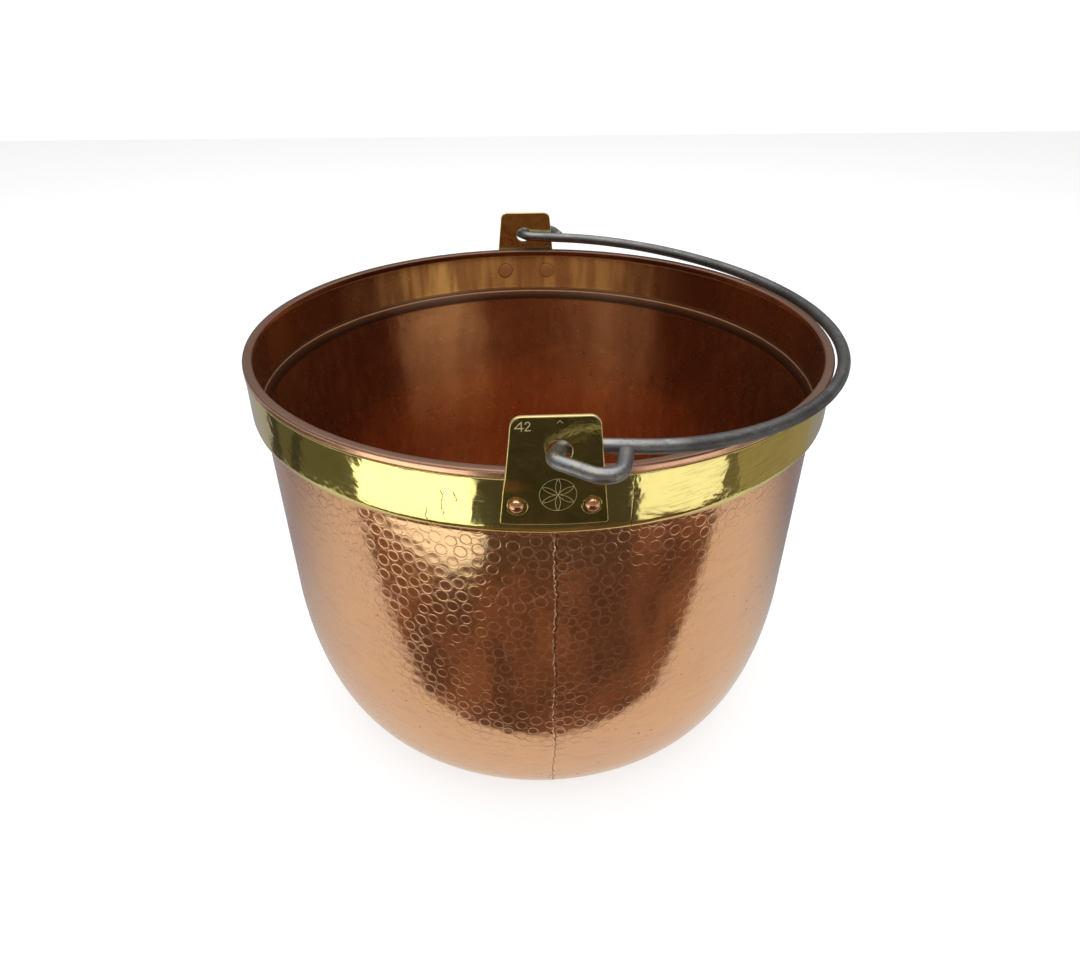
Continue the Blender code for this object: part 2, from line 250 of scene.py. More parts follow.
def geometry_tree(name, **kinds):
    """An empty geometry tree with a named input for each size, and one for the finish."""
    tree = bpy.data.node_groups.new(name, "GeometryNodeTree")
    tree.interface.new_socket("Geometry", in_out="INPUT", socket_type="NodeSocketGeometry")
    tree.interface.new_socket("Geometry", in_out="OUTPUT", socket_type="NodeSocketGeometry")
    for label, kind in kinds.items():
        tree.interface.new_socket(label, in_out="INPUT", socket_type=SOCKETS[kind])
    tree.interface.new_socket("Finish", in_out="INPUT", socket_type="NodeSocketMaterial")
    bench = Bench(tree)
    inlet = tree.nodes.new("NodeGroupInput")
    given = {socket.name: Wire(bench, socket) for socket in inlet.outputs if socket.name}
    return bench, given


def close_tree(bench, geometry, material):
    """Realise what is instanced, give it its finish, and end the tree."""
    whole = bench.add("GeometryNodeRealizeInstances", None, {"Geometry": geometry})
    coated = bench.add("GeometryNodeSetMaterial", None, {"Geometry": whole, "Material": material})
    outlet = bench.tree.nodes.new("NodeGroupOutput")
    bench.plug(outlet.inputs[0], coated)
    return bench.tree


def worked(obj, tree, **values):
    """Run a geometry tree on an object, and keep the result as its plain mesh."""
    modifier = obj.modifiers.new(tree.name, "NODES")
    modifier.node_group = tree
    for item in tree.interface.items_tree:
        if item.name in values:
            modifier[item.identifier] = values[item.name]
    graph = bpy.context.evaluated_depsgraph_get()
    made = obj.evaluated_get(graph)
    mesh = bpy.data.meshes.new_from_object(made, preserve_all_data_layers=True, depsgraph=graph)
    obj.modifiers.remove(modifier)
    obj.data = mesh
    return obj


print("geometry trees ready")

# %% [markdown]
# ## Meshes from grids
# Almost every piece here is a grid of points that closes on itself: round the axis, round the hole of an
# ear, or round a rod. A grid gives even faces, which a hammered surface needs, and an exact shape at a low
# cost. Rows run along the section and columns run round. The last row either joins the first one, as on a
# ring, or both end rows get a cap.

# %% New objects
def placed(name, data):
    """An object in the scene that holds this mesh, camera or lamp."""
    obj = bpy.data.objects.new(name, data)
    bpy.context.scene.collection.objects.link(obj)
    return obj


def mesh_object(name, points, edges=(), faces=()):
    """An object in the scene with a mesh of these points, edges and faces."""
    mesh = bpy.data.meshes.new(name)
    mesh.from_pydata(points, edges, faces)
    return placed(name, mesh)


def store(obj, name, values):
    """Keep one number for each point of a mesh under a name."""
    layer = obj.data.attributes.new(name, "FLOAT", "POINT")
    layer.data.foreach_set("value", np.asarray(values, np.float32).ravel())


def read(items, key, size=1):
    """What the points of a mesh hold under a key."""
    values = np.empty(size * len(items), np.float32)
    items.foreach_get(key, values)
    return values


print("new objects go into the", bpy.context.scene.name.lower())

# %% Grids
def grid_object(name, points, capped=False):
    """A closed mesh object from an array of points (rows, columns, 3)."""
    rows, columns = points.shape[:2]
    index = np.arange(rows * columns).reshape(rows, columns)
    below = np.roll(index, -1, axis=0)
    last = rows - 1 if capped else rows
    corners = [index, below, np.roll(below, -1, axis=1), np.roll(index, -1, axis=1)]
    quads = np.stack([corner[:last] for corner in corners], axis=-1).reshape(-1, 4).tolist()
    if capped:
        quads += [index[0].tolist(), index[-1][::-1].tolist()]
    obj = mesh_object(name, points.reshape(-1, 3).tolist(), faces=quads)
    obj.data.shade_smooth()
    return obj


def turned(section, columns):
    """Points of a section (radius, height) turned round the axis."""
    angles = np.linspace(0.0, 2 * np.pi, columns, endpoint=False)
    radii, heights = np.asarray(section).T
    across = radii[:, None] * np.cos(angles)
    away = radii[:, None] * np.sin(angles)
    return np.stack([across, away, np.repeat(heights[:, None], columns, axis=1)], axis=-1)


def arc(centre, radii, start, end, count):
    """Points on an elliptic arc, with its ends, angles in degrees."""
    angles = np.radians(np.linspace(start, end, count))
    return np.stack([centre[0] + radii[0] * np.cos(angles), centre[1] + radii[1] * np.sin(angles)], axis=-1)


def evenly(line, spacing):
    """The same line with its points this far apart, ends kept."""
    lengths = np.concatenate([[0.0], np.cumsum(np.hypot(*np.diff(line, axis=0).T))])
    places = np.linspace(0.0, lengths[-1], max(2, round(lengths[-1] / spacing) + 1))
    return np.stack([np.interp(places, lengths, line[:, i]) for i in (0, 1)], axis=-1)


def inward(line, distance):
    """The line of a section, top to bottom, moved square to itself towards the inside of the kettle."""
    along = np.gradient(line, axis=0)
    along /= np.hypot(*along.T)[:, None]
    return line - np.stack([-along[:, 1], along[:, 0]], axis=-1) * distance


def thinned(line, coarse, fine, low=0.03, high=0.25):
    """Every so many points of a line: coarse between two heights, fine at the base and the shoulder."""
    last = len(line) - 1
    straight = (line[:, 1] > low) & (line[:, 1] < high)
    steps = np.where(straight, coarse, fine)
    return line[[k for k in range(len(line)) if k % steps[k] == 0 or k == last]]


def outside_line():
    """Outside of the copper, from the foot of the collar to the edge of the flat base."""
    sweep = math.degrees(SWEEP)
    upper = arc((COLLAR_RADIUS - BEND, SHOULDER_TOP), (BEND, BEND), 0.0, -sweep, 24)
    lower = arc((WALL_RADIUS + BEND, WALL_TOP), (BEND, BEND), 180.0 - sweep, 180.0, 24)
    width = WALL_RADIUS - WALL_TAPER - BASE_RADIUS
    corner = arc((BASE_RADIUS, CORNER_HEIGHT), (width, CORNER_HEIGHT), 0.0, -90.0, 200)
    return np.concatenate([upper, lower[1:], corner])


print("outside line of", len(outside_line()), "points")

# %% [markdown]
# ## Floor, light and camera
# Polished copper shows the room more than itself. This wall slopes so that nearly all that a standing
# viewer sees in it is the floor round the kettle: a pale table close by, a darker floor in front of its
# edge, and one bright patch on that floor. The band stands upright, so it sees the floor farther out, in
# bright and dim stretches. The studio is a pale floor under one large soft light, with a backdrop on all
# four sides, and with flat cards that only reflections see, each where the wall or the band mirrors it.

# %% Camera
TURN = math.radians(3.4)
CAMERA_AWAY = 0.5635
CAMERA_HEIGHT = 0.5118
CAMERA_TILT = math.radians(58.43)
PICTURE_WIDTH = 1080
SHIFT_PIXELS = 1.5
camera = placed("camera", bpy.data.cameras.new("camera"))
camera.data.sensor_width = 36.0
camera.data.lens = 26.567
camera.data.shift_x = SHIFT_PIXELS / PICTURE_WIDTH
camera.location = (-CAMERA_AWAY * math.sin(TURN), -CAMERA_AWAY * math.cos(TURN), CAMERA_HEIGHT)
camera.rotation_euler = (CAMERA_TILT, 0.0, -TURN)
bpy.context.scene.camera = camera
bpy.context.scene.view_settings.view_transform = "Standard"
print("camera at", tuple(round(value, 4) for value in camera.location))

# %% Floor and backdrop
def stage_material(name, glow, shade):
    """A pale surface that gives some light of its own, so that it stays even far from the lamp."""
    _, finish = new_finish(name)
    return finish(Metallic=0.0, Roughness=0.9, Base_Color=shade, Emission_Color=glow, Emission_Strength=1.0)


def stage_sheet(name, corners, material):
    obj = mesh_object(name, corners, faces=[tuple(range(len(corners)))])
    obj.data.materials.append(material)
    return obj


FLOOR_EDGE = 3.0
FLOOR_GLOW = 0.76
BACKDROP_REACH = 9.0
BACKDROP_LOW, BACKDROP_TOP = -0.5, 4.0
SQUARE = ((-1, -1), (1, -1), (1, 1), (-1, 1))
pale = stage_material("pale floor", (FLOOR_GLOW, FLOOR_GLOW, FLOOR_GLOW), (0.35, 0.35, 0.35))
stage_sheet("floor", [(x * FLOOR_EDGE, y * FLOOR_EDGE, 0) for x, y in SQUARE], pale)
backdrop_glow = stage_material("pale backdrop", (1.0, 1.0, 1.0), (0.0, 0.0, 0.0))
for quarter in range(4):
    spin = Matrix.Rotation(quarter * math.pi / 2, 3, "Z")
    corners = []
    for hand, level in SQUARE:
        height = BACKDROP_TOP if level > 0 else BACKDROP_LOW
        corners.append(tuple(spin @ Vector((hand * BACKDROP_REACH, FLOOR_EDGE, height))))
    backdrop = stage_sheet(f"backdrop_{quarter}", corners, backdrop_glow)
    backdrop.visible_glossy = False
    backdrop.visible_diffuse = False
    backdrop.visible_shadow = quarter == 0
print("floor", 2 * FLOOR_EDGE, "m wide, with a backdrop on four sides")

# %% Cards that only reflections see
CARD_LIFT = 0.0005
TABLE_DARKENS = (-0.17, 0.15)


def from_camera(across, away):
    """A floor point given to the right of the axis and away from the camera."""
    x = across * math.cos(TURN) + away * math.sin(TURN)
    y = -across * math.sin(TURN) + away * math.cos(TURN)
    return x, y


def card(name, places, radiance, layer, far=None, cloudy=None):
    """A flat card on the floor that only reflections see. It may darken to the back, or be cloudy."""
    bench, finish = new_finish(name)
    place = bench.own_place()
    if far:
        _, y, _ = bench.axes(place)
        radiance = bench.blend(y.eased(*TABLE_DARKENS), radiance, far)
    if cloudy:
        radiance = bench.blend(bench.noise(place, 9.0, 3.0, 0.6, 0.5).eased(0.35, 0.68), radiance, cloudy)
    glow = finish(Metallic=0.0, Base_Color=(0.0, 0.0, 0.0), Emission_Color=radiance, Emission_Strength=1.0)
    corners = [(*from_camera(across, away), CARD_LIFT * layer) for across, away in places]
    obj = stage_sheet(name, corners, glow)
    obj.visible_camera = False
    obj.visible_diffuse = False
    obj.visible_shadow = False
    obj.visible_transmission = False


def sector(start, end, near, far, steps=12):
    """Places of a ring sector. Angles run from the camera's side of the axis, positive to the right."""
    angles = [math.radians(start + (end - start) * k / steps) for k in range(steps + 1)]
    inner = [(near * math.sin(angle), -near * math.cos(angle)) for angle in angles]
    outer = [(far * math.sin(angle), -far * math.cos(angle)) for angle in angles]
    return inner + outer[::-1]


TABLE_FROM, TABLE_TO = 0.165, 1.6
TABLE_EDGE = -0.245
TABLE_NEAR = (0.74, 0.73, 0.69)
TABLE_FAR_LEFT = (0.32, 0.31, 0.34)
TABLE_FAR_RIGHT = (0.25, 0.24, 0.265)
DARK_FLOOR = [(-0.72, -0.95), (0.72, -0.95), (0.72, TABLE_EDGE), (-0.72, TABLE_EDGE)]
LEFT_PATCH = [(-0.47, -0.30), (-0.33, -0.37), (-0.22, -0.41), (-0.165, -0.45), (-0.145, -0.52),
              (-0.16, -0.56), (-0.32, -0.60), (-0.46, -0.40)]
card("table right", sector(0, 180, TABLE_FROM, TABLE_TO, 36), TABLE_NEAR, 1, TABLE_FAR_RIGHT)
card("table left", sector(-180, 0, TABLE_FROM, TABLE_TO, 36), TABLE_NEAR, 1, TABLE_FAR_LEFT)
card("dark floor", DARK_FLOOR, (0.060, 0.021, 0.008), 2, cloudy=(0.20, 0.088, 0.036))
card("dark floor behind", sector(150, 210, 0.40, 1.4), (0.060, 0.024, 0.012), 2, cloudy=(0.22, 0.12, 0.065))
card("near patch", LEFT_PATCH, (1.33, 1.60, 1.50), 3)
card("dim gap", sector(-26, 31, 0.47, 0.60), (0.070, 0.040, 0.017), 2.5)
print("cards for the wall laid")

# %% Cards for the band
BAND_SEES_FROM, BAND_SEES_TO = 0.56, 1.0
STRETCHES = {
    "dark gap": (-26, 31, 0.565, 1.4, (0.030, 0.021, 0.012), 3.5),
    "bright left": (-60, -21, BAND_SEES_FROM, 0.95, (1.9, 1.9, 1.8), 4),
    "dim left": (-108, -60, BAND_SEES_FROM, BAND_SEES_TO, (0.075, 0.068, 0.034), 4),
    "dark line": (-107, -100, BAND_SEES_FROM, BAND_SEES_TO, (0.012, 0.010, 0.006), 5),
    "second dark line": (-91, -86.5, BAND_SEES_FROM, BAND_SEES_TO, (0.012, 0.010, 0.006), 5),
    "bright right": (31, 61, 0.58, 0.95, (1.1, 1.1, 1.1), 4),
    "dark right": (61, 68, BAND_SEES_FROM, BAND_SEES_TO, (0.12, 0.10, 0.06), 4),
    "dim right": (68, 110, BAND_SEES_FROM, BAND_SEES_TO, (0.26, 0.22, 0.14), 4),
}
for name, (start, end, near, far, radiance, layer) in STRETCHES.items():
    card(name, sector(start, end, near, far), radiance, layer)
print(len(STRETCHES), "cards for the band laid")

# %% Soft light
world = bpy.data.worlds.new("studio")
world.use_nodes = True
world.node_tree.nodes["Background"].inputs["Color"].default_value = (0.30, 0.30, 0.31, 1.0)
bpy.context.scene.world = world
lamp = bpy.data.lights.new("overhead", "AREA")
lamp.size = 3.0
lamp.energy = 58.0
overhead = placed("overhead", lamp)
overhead.location = (0.0, 0.1, 2.0)
print("overhead light", lamp.size, "m square")

# %% [markdown]
# ## Hammered wall
# A coppersmith stiffens a kettle by beating it all over with a round-faced hammer. Each blow leaves a
# shallow dish with a raised lip, and a later blow cuts into the dishes before it, so the wall is covered
# with rings and crescents. Sculpting thousands of them is no use. Geometry Nodes scatter the blows in three
# rounds, and the newest round wins, as on the real wall. One more row of marks runs down beside the lapped
# joint. The dish goes into the shape of the wall, and the number that says how far a point lies from the
# blow's middle is kept, so that the finish can draw the fine lip of each blow and the wider, duller ring
# that the polishing cloth leaves round it. On the right side the wall was rubbed smooth, so the blows are
# faint there.

# %% Rounds of blows
CRISPNESS = {"blow_0": 0.12, "blow_1": 0.35, "blow_2": 1.0, "blow_seam": 1.0}
ROUND_NAMES = list(CRISPNESS)
ROUNDS = len(ROUND_NAMES) - 1
NO_BLOW = 3.0


def lips(bench, width):
    """The raised lips of the blows: each later blow wipes out what lay in its dish, and stands out more."""
    lip = 0.0
    for name, crispness in CRISPNESS.items():
        reach = bench.attribute(name)
        inside = 1 - reach.eased(0.88, 0.96)
        ring = reach.near(0.97, width) * crispness
        lip = (lip * (1 - inside)).most(ring) if isinstance(lip, Wire) else ring
    return lip


print(ROUNDS, "rounds of blows, and the row beside the joint")

# %% The beaten finish
LIP_WIDTH = 0.12
RING_WIDTH = 0.34


def beaten_copper():
    bench, finish = new_finish("beaten copper")
    place = bench.own_place()
    lap = bench.attribute("lap")
    cloud = bench.noise(place, 14.0, 4.0, 0.6, 0.4)
    grain = bench.noise(place, 420.0, 3.0, 0.6)
    wipes = bench.noise(bench.stretched(place, (1.0, 1.0, 5.0)), 38.0, 4.0, 0.68, 0.3)
    pit = bench.add("ShaderNodeTexVoronoi", None, {"Vector": place, "Scale": 120.0}, "Distance")
    pits = (1 - pit.eased(0.06, 0.13)) * bench.noise(place, 26.0, 2.0).eased(0.48, 0.62)
    broken = bench.noise(place, 75.0, 3.0, 0.6).eased(0.36, 0.58)
    uneven = bench.noise(place, 110.0, 2.0, 0.6).eased(0.34, 0.56) * 0.65 + 0.35
    strength = bench.attribute("strength")
    lip = lips(bench, LIP_WIDTH) * strength * uneven * (0.6 + cloud.eased(0.35, 0.6) * 0.4)
    ring = lips(bench, RING_WIDTH) * strength * (0.65 + cloud.eased(0.38, 0.62) * 0.35)
    specks = grain.eased(0.66, 0.76)
    # Along the lap joint, the bright line on the edge of the upper sheet is a painted highlight and the dark
    # line beside it is painted shade in the groove; both masks also shape the bump.
    seam_edge_highlight = lap.near(-0.0004, 0.0006) * (0.15 + broken * 0.85)
    seam_shade = lap.near(0.0006, 0.0010) * (0.6 + broken * 0.4)
    colour = bench.coats(
        (0.80, 0.445, 0.235),
        (cloud.eased(0.35, 0.7), (0.77, 0.43, 0.25)),
        (wipes.eased(0.45, 0.75) * 0.4, (0.64, 0.34, 0.19)),
        # the lighter colour on the lips of the blows is partly polish and partly a painted highlight
        (lip * 0.2, (0.92, 0.58, 0.34)),
        ((pits * 0.75).most(specks * 0.4), (0.16, 0.06, 0.03)),
        # painted shade in the lap groove, then a painted highlight on the lapped edge
        (seam_shade * 0.8, (0.20, 0.07, 0.035)),
        (seam_edge_highlight * 0.7, (0.96, 0.66, 0.44)),
    )
    roughness = 0.06 + cloud * 0.04 + wipes * 0.06 + pits * 0.3 + seam_shade * 0.2 + ring * 0.13
    height = lip * 0.00007 + grain * 0.0000025 + wipes * 0.00002 - pits * 0.00004
    height = height - seam_shade * 0.00014 + seam_edge_highlight * 0.00014
    dulled = bench.noise(place, 34.0, 3.0, 0.6, 0.4).eased(0.44, 0.60)
    metal = 1 - ring * 0.05 - lip * strength * (dulled * 0.14 + 0.03) - seam_edge_highlight * 0.3
    return finish(Base_Color=colour, Roughness=roughness, Metallic=metal, Normal=bench.bump(height))


beaten = beaten_copper()
print("beaten copper has", len(beaten.node_tree.nodes), "nodes")

# %% Geometry tree of the blows
def hammer_tree():
    bench, given = geometry_tree(
        "hammer_blows", Radius=float, Spread=float, Depth=float, Spacing=float, Density=float, Seed=int
    )
    sheet = given["Geometry"]
    place = bench.add("GeometryNodeInputPosition")
    depth = 0.0
    kept = []
    for turn in range(ROUNDS):
        settings = {"distribute_method": "POISSON"}
        sockets = {"Mesh": sheet, "Distance Min": given["Spacing"], "Density Max": given["Density"]}
        sockets["Seed"] = given["Seed"] + turn
        blows = bench.add("GeometryNodeDistributePointsOnFaces", settings, sockets, "Points")
        nearest = bench.add("GeometryNodeSampleNearest", {"domain": "POINT"}, {"Geometry": blows})
        sockets = {"Geometry": blows, "Value": place, "Index": nearest}
        middle = bench.add("GeometryNodeSampleIndex", {"data_type": "FLOAT_VECTOR"}, sockets)
        sockets = {"Min": 1 - given["Spread"], "Max": 1 + given["Spread"], "ID": nearest, "Seed": turn}
        size = bench.add("FunctionNodeRandomValue", {"data_type": "FLOAT"}, sockets)
        reach = bench.vector("DISTANCE", place, middle) / (size * given["Radius"])
        inside = 1 - reach.eased(0.94, 1.0)
        dish = (1 - reach * reach).most(0.0)
        depth = depth * (1 - inside) + dish * inside
        kept.append(reach.least(NO_BLOW))
    settings = {"data_type": "FLOAT", "domain": "POINT"}
    for name, value in zip(ROUND_NAMES, kept):
        sockets = {"Geometry": sheet, "Name": name, "Value": value}
        sheet = bench.add("GeometryNodeStoreNamedAttribute", settings, sockets)
    offset = bench.off_surface(bench.named("rise") - depth * bench.named("strength") * given["Depth"])
    sheet = bench.add("GeometryNodeSetPosition", None, {"Geometry": sheet, "Offset": offset})
    return close_tree(bench, sheet, given["Finish"])


hammer = hammer_tree()
print("hammer tree has", len(hammer.nodes), "nodes")

# %% Beat the wall
COLUMNS = 880
ROW = 0.00145
BLOW_RADIUS = 0.0038
SEAM_PITCH = 0.0083
SEAM_MARK_RADIUS = 0.0033
SEAM_MARK_ASIDE = 0.0048


def seam_distance(points):
    """How far each point lies to the right of the lap joint, along the wall."""
    x, y, z = points[..., 0], points[..., 1], points[..., 2]
    angle = np.arctan2(x, -y)
    middle = np.interp(z, [0.0, 0.255], [-0.0068, -0.0143])
    scallop = np.abs(np.sin(z * math.pi / SEAM_PITCH))
    wobble = 0.0009 * scallop * (0.6 + 0.4 * np.sin(z * 517)) + 0.0003 * np.sin(z * 1310 + 2.1)
    wobble += 0.0006 * np.sin(z * 97 + 0.5)
    return np.hypot(x, y) * (angle - middle) - wobble


def seam_blows(distance, heights):
    """Distance to the nearest of the marks that run down beside the joint, over their radius."""
    step = np.round(heights / SEAM_PITCH)
    across = distance - SEAM_MARK_ASIDE - 0.0007 * np.sin(step * 12.9)
    along = heights - step * SEAM_PITCH - 0.0006 * np.cos(step * 7.3)
    return np.hypot(across, along) / SEAM_MARK_RADIUS


def beaten_sheet():
    """Outside of the copper as one grid, lapped at the joint and dished by the blows."""
    line = evenly(outside_line(), ROW)
    points = turned(line, COLUMNS)
    sheet = grid_object("sheet", points, capped=True)
    distance = seam_distance(points)
    angle = np.degrees(np.arctan2(points[..., 0], -points[..., 1]))
    height = points[..., 2]
    smooth_side = np.clip((angle - 1.0) / 14.0, 0, 1) * np.clip((150.0 - angle) / 40.0, 0, 1)
    near_band = np.clip((height - 0.215) / 0.03, 0, 1)
    strength = 1.0 - 0.68 * smooth_side * (1 - 0.55 * near_band)
    strength *= np.clip(height / 0.02, 0, 1)
    fade = np.clip((height - 0.002) / 0.02, 0, 1)
    overlap = 0.00022 * np.clip(1 + distance / 0.012, 0, 1) ** 2 * (distance < 0)
    groove = -0.00005 * np.exp(-np.clip(distance, 0, 1) / 0.003) * (distance >= 0)
    seam = seam_blows(distance, height)
    dish = 0.00006 * np.clip(1 - seam**2, 0, 1)
    store(sheet, "strength", strength)
    store(sheet, "lap", distance)
    store(sheet, "blow_seam", np.minimum(seam, NO_BLOW))
    store(sheet, "rise", (overlap + groove - dish) * fade)
    worked(sheet, hammer, Radius=BLOW_RADIUS, Spread=0.12, Depth=0.00007, Spacing=0.0085, Density=120000.0,
           Seed=7, Finish=beaten)
    return sheet, line


sheet, line = beaten_sheet()
print("beaten sheet has", len(sheet.data.polygons), "faces")

# %% [markdown]
# ## Two skins with one surface
# The hammered sheet has more faces than one piece should hold, so it is cut in two at the start of the
# rounded foot. Each part gets a plain back, not quite a millimetre behind its face, and so is a closed
# body. The back's rows lie far apart where the wall is straight and close together where it bends. Where
# two meshes meet, each would bend the light by its own faces and a line would show. Both parts take the
# normals of the whole sheet instead, so the joint stays unseen.

# %% Close the two skins
SKIN = 0.00085
PLAIN_BACK = 0.02


def outward(points):
    """Level directions away from the axis, one for each point."""
    level = points * (1.0, 1.0, 0.0)
    return level / np.linalg.norm(level, axis=-1, keepdims=True)


def skin(name, front, normals, back, layers, capped):
    """A closed skin: the beaten rows outside, and a few plain rows behind them."""
    behind = turned(back[::-1], COLUMNS)
    obj = grid_object(name, np.concatenate([behind, front]), capped)
    for label, values in layers.items():
        plain = np.full(behind.shape[:2], NO_BLOW if label.startswith("blow") else PLAIN_BACK)
        store(obj, label, np.concatenate([plain, values]))
    facing = np.concatenate([-outward(behind), normals]).reshape(-1, 3)
    obj.data.normals_split_custom_set_from_vertices(facing.tolist())
    obj.data.materials.append(beaten)
    return obj


def split_skins():
    shape = (len(line), COLUMNS)
    front = read(sheet.data.vertices, "co", 3).reshape(*shape, 3)
    normals = read(sheet.data.vertex_normals, "vector", 3).reshape(*shape, 3)
    layers = {label: read(sheet.data.attributes[label].data, "value").reshape(shape)
              for label in ["strength", "lap"] + ROUND_NAMES}
    cut = int(np.searchsorted(-line[:, 1], -CORNER_HEIGHT))
    back = inward(line, SKIN)
    collar = turned([(COLLAR_RADIUS, COLLAR_TOP), (COLLAR_RADIUS, (COLLAR_TOP + SHOULDER_TOP) / 2)], COLUMNS)
    upper = {label: np.concatenate([np.repeat(values[:1], 2, axis=0), values[: cut + 1]])
             for label, values in layers.items()}
    wall_back = np.concatenate([[(COLLAR_RADIUS - SKIN, COLLAR_TOP)], thinned(back[: cut + 1], 24, 3)])
    wall = skin("wall_copper", np.concatenate([collar, front[: cut + 1]]),
                np.concatenate([outward(collar), normals[: cut + 1]]), wall_back, upper, False)
    flat = turned([(0.01, 0.0)], COLUMNS)
    down = np.broadcast_to((0.0, 0.0, -1.0), flat.shape)
    lower = {label: np.concatenate([values[cut:], values[-1:]]) for label, values in layers.items()}
    foot_back = np.concatenate([thinned(back[cut:], 12, 4), [(0.01, SKIN)]])
    foot = skin("foot_copper", np.concatenate([front[cut:], flat]), np.concatenate([normals[cut:], down]),
                foot_back, lower, True)
    return wall, foot


wall, foot = split_skins()
bpy.data.objects.remove(sheet)
print("wall", len(wall.data.polygons), "faces, foot", len(foot.data.polygons), "faces")

# %% [markdown]
# ## Lining and hem
# Inside, the copper was never polished. It is dull red-brown, with soft dents from the hammer outside, and a
# sharp crease where the collar steps out. Its lighter upright bands, brighter towards the top, and the
# brighter back and front of the collar are a painted reflection. The shoulder is darkened with painted
# shade, with a painted highlight on its ledge, and painted dark lines of shade run along the crease and
# round the rivet discs. The hem is the edge of the sheet rolled over outwards, with painted shade on its far
# side. Both are turned from a section, and one tree then pushes the sheet in and out by a slow noise, whose
# pattern can be drawn out upwards to give the long facets of a planished collar.

# %% Geometry tree of a worn sheet
def worn_tree():
    bench, given = geometry_tree("worn_sheet", Dent_Size=float, Dent_Depth=float, Upright=float, Seed=int)
    x, y, z = bench.axes(bench.add("GeometryNodeInputPosition"))
    scaled = bench.joined(x + given["Seed"], y, z * given["Upright"])
    dents = bench.noise(scaled, given["Dent_Size"] ** -1, 2.0, 0.55)
    offset = bench.off_surface((dents - 0.5) * given["Dent_Depth"])
    bent = bench.add("GeometryNodeSetPosition", None, {"Geometry": given["Geometry"], "Offset": offset})
    return close_tree(bench, bent, given["Finish"])


worn = worn_tree()
print("worn tree has", len(worn.nodes), "nodes")

# %% Finishes of the lining and the hem
def lining_copper():
    bench, finish = new_finish("dull copper lining")
    place = bench.own_place()
    x, y, level = bench.axes(place)
    streaks = bench.noise(bench.stretched(place, (1.0, 1.0, 0.2)), 26.0, 3.0, 0.6, 0.3)
    fine = bench.noise(bench.stretched(place, (1.0, 1.0, 0.3)), 150.0, 3.0, 0.6)
    planished = bench.noise(bench.stretched(place, (1.0, 1.0, 0.12)), 75.0, 2.0, 0.5, 0.2)
    cloud = bench.noise(place, 16.0, 4.0, 0.6, 0.6)
    dents = bench.noise(place, 22.0, 1.5, 0.45, 0.3)
    spots = bench.noise(place, 160.0, 2.0, 0.6).eased(0.64, 0.76)
    collar = level.eased(SHOULDER_TOP - 0.0023, SHOULDER_TOP - 0.0010)
    # The colour darkens the step below the collar with painted shade.
    shoulder = level.eased(WALL_TOP - 0.0025, WALL_TOP) * (1 - collar)
    ledge_highlight = level.near(SHOULDER_TOP - 0.0037, 0.0005)
    crease_and_shade = level.near(SHOULDER_TOP - 0.0011, 0.0009)
    # Lighter upright bands placed by the angle round the axis, brighter towards the top: a painted
    # reflection.
    turn = bench.sum("ARCTAN2", x, y) + (streaks - 0.5) * 0.35
    streaky_patches = turn.near(-0.42, 0.34) + turn.near(0.42, 0.36) * 0.6 + turn.near(0.0, 0.9) * 0.16
    streaky_patches = (streaky_patches + abs(turn).eased(1.9, 2.4) * 0.6) * (0.45 + cloud)
    streaky_patches = (streaky_patches * (0.15 + level.eased(0.10, 0.23) * 0.85)).least(1.0)
    # The collar is brightest at the back and at the front by its angle round the axis, a painted reflection,
    # mixed with the planished noise for its facets.
    shine = 1 - abs(turn + 0.06).eased(0.35, 0.95)
    shine = shine * (0.7 + turn.near(-0.38, 0.28) * 0.3) + abs(turn).eased(1.7, 2.4) * 0.8
    facet_sheen = shine.least(1.0) * (0.6 + planished.eased(0.35, 0.6) * 0.4)
    # Dark rings round the flush rivet discs inside are painted shade in the gap.
    rivet_ring_shade = 0.0
    for across in (-1, 1):
        spot = (HINGE_X + HOLE_OFFSET + across * RIVET_SPREAD, 0.0, RIVET_HEIGHT)
        away = bench.vector("DISTANCE", bench.vector("MULTIPLY", place, (1.0, 0.0, 1.0)), spot)
        rivet_ring_shade = away.near(0.0067, 0.0009) + rivet_ring_shade
    colour = bench.coats(
        (0.36, 0.145, 0.06),
        # painted reflection: the lighter upright bands
        (streaky_patches, (1.0, 0.52, 0.20)),
        (fine.eased(0.45, 0.75) * 0.2, (0.80, 0.48, 0.24)),
        # the collar's colour: a painted reflection over its planished facets
        (collar, bench.blend(facet_sheen, (0.36, 0.14, 0.055), (1.0, 0.55, 0.16))),
        # painted shade on the shoulder
        (shoulder * 0.95, (0.06, 0.020, 0.008)),
        # a painted highlight along the ledge of the shoulder
        (ledge_highlight * 0.5, (0.80, 0.42, 0.20)),
        # painted shade: a dark line along the crease and round the rivet discs
        (crease_and_shade.most(rivet_ring_shade) * 0.8, (0.12, 0.04, 0.02)),
        (spots * 0.35, (0.14, 0.05, 0.03)),
    )
    bottom = 1 - level.eased(0.01, 0.06)
    roughness = 0.23 + bottom * 0.2 + cloud * 0.08 + shoulder * 0.3 + spots * 0.1
    height = fine * 0.00004 + streaks * 0.0001 + dents * 0.0022
    height = height + planished * collar * 0.0005 - crease_and_shade * 0.0001
    metal = 0.92 - collar * facet_sheen * 0.92 - (1 - collar) * streaky_patches * 0.5
    return finish(Base_Color=colour, Roughness=roughness, Metallic=metal, Normal=bench.bump(height, 0.8))


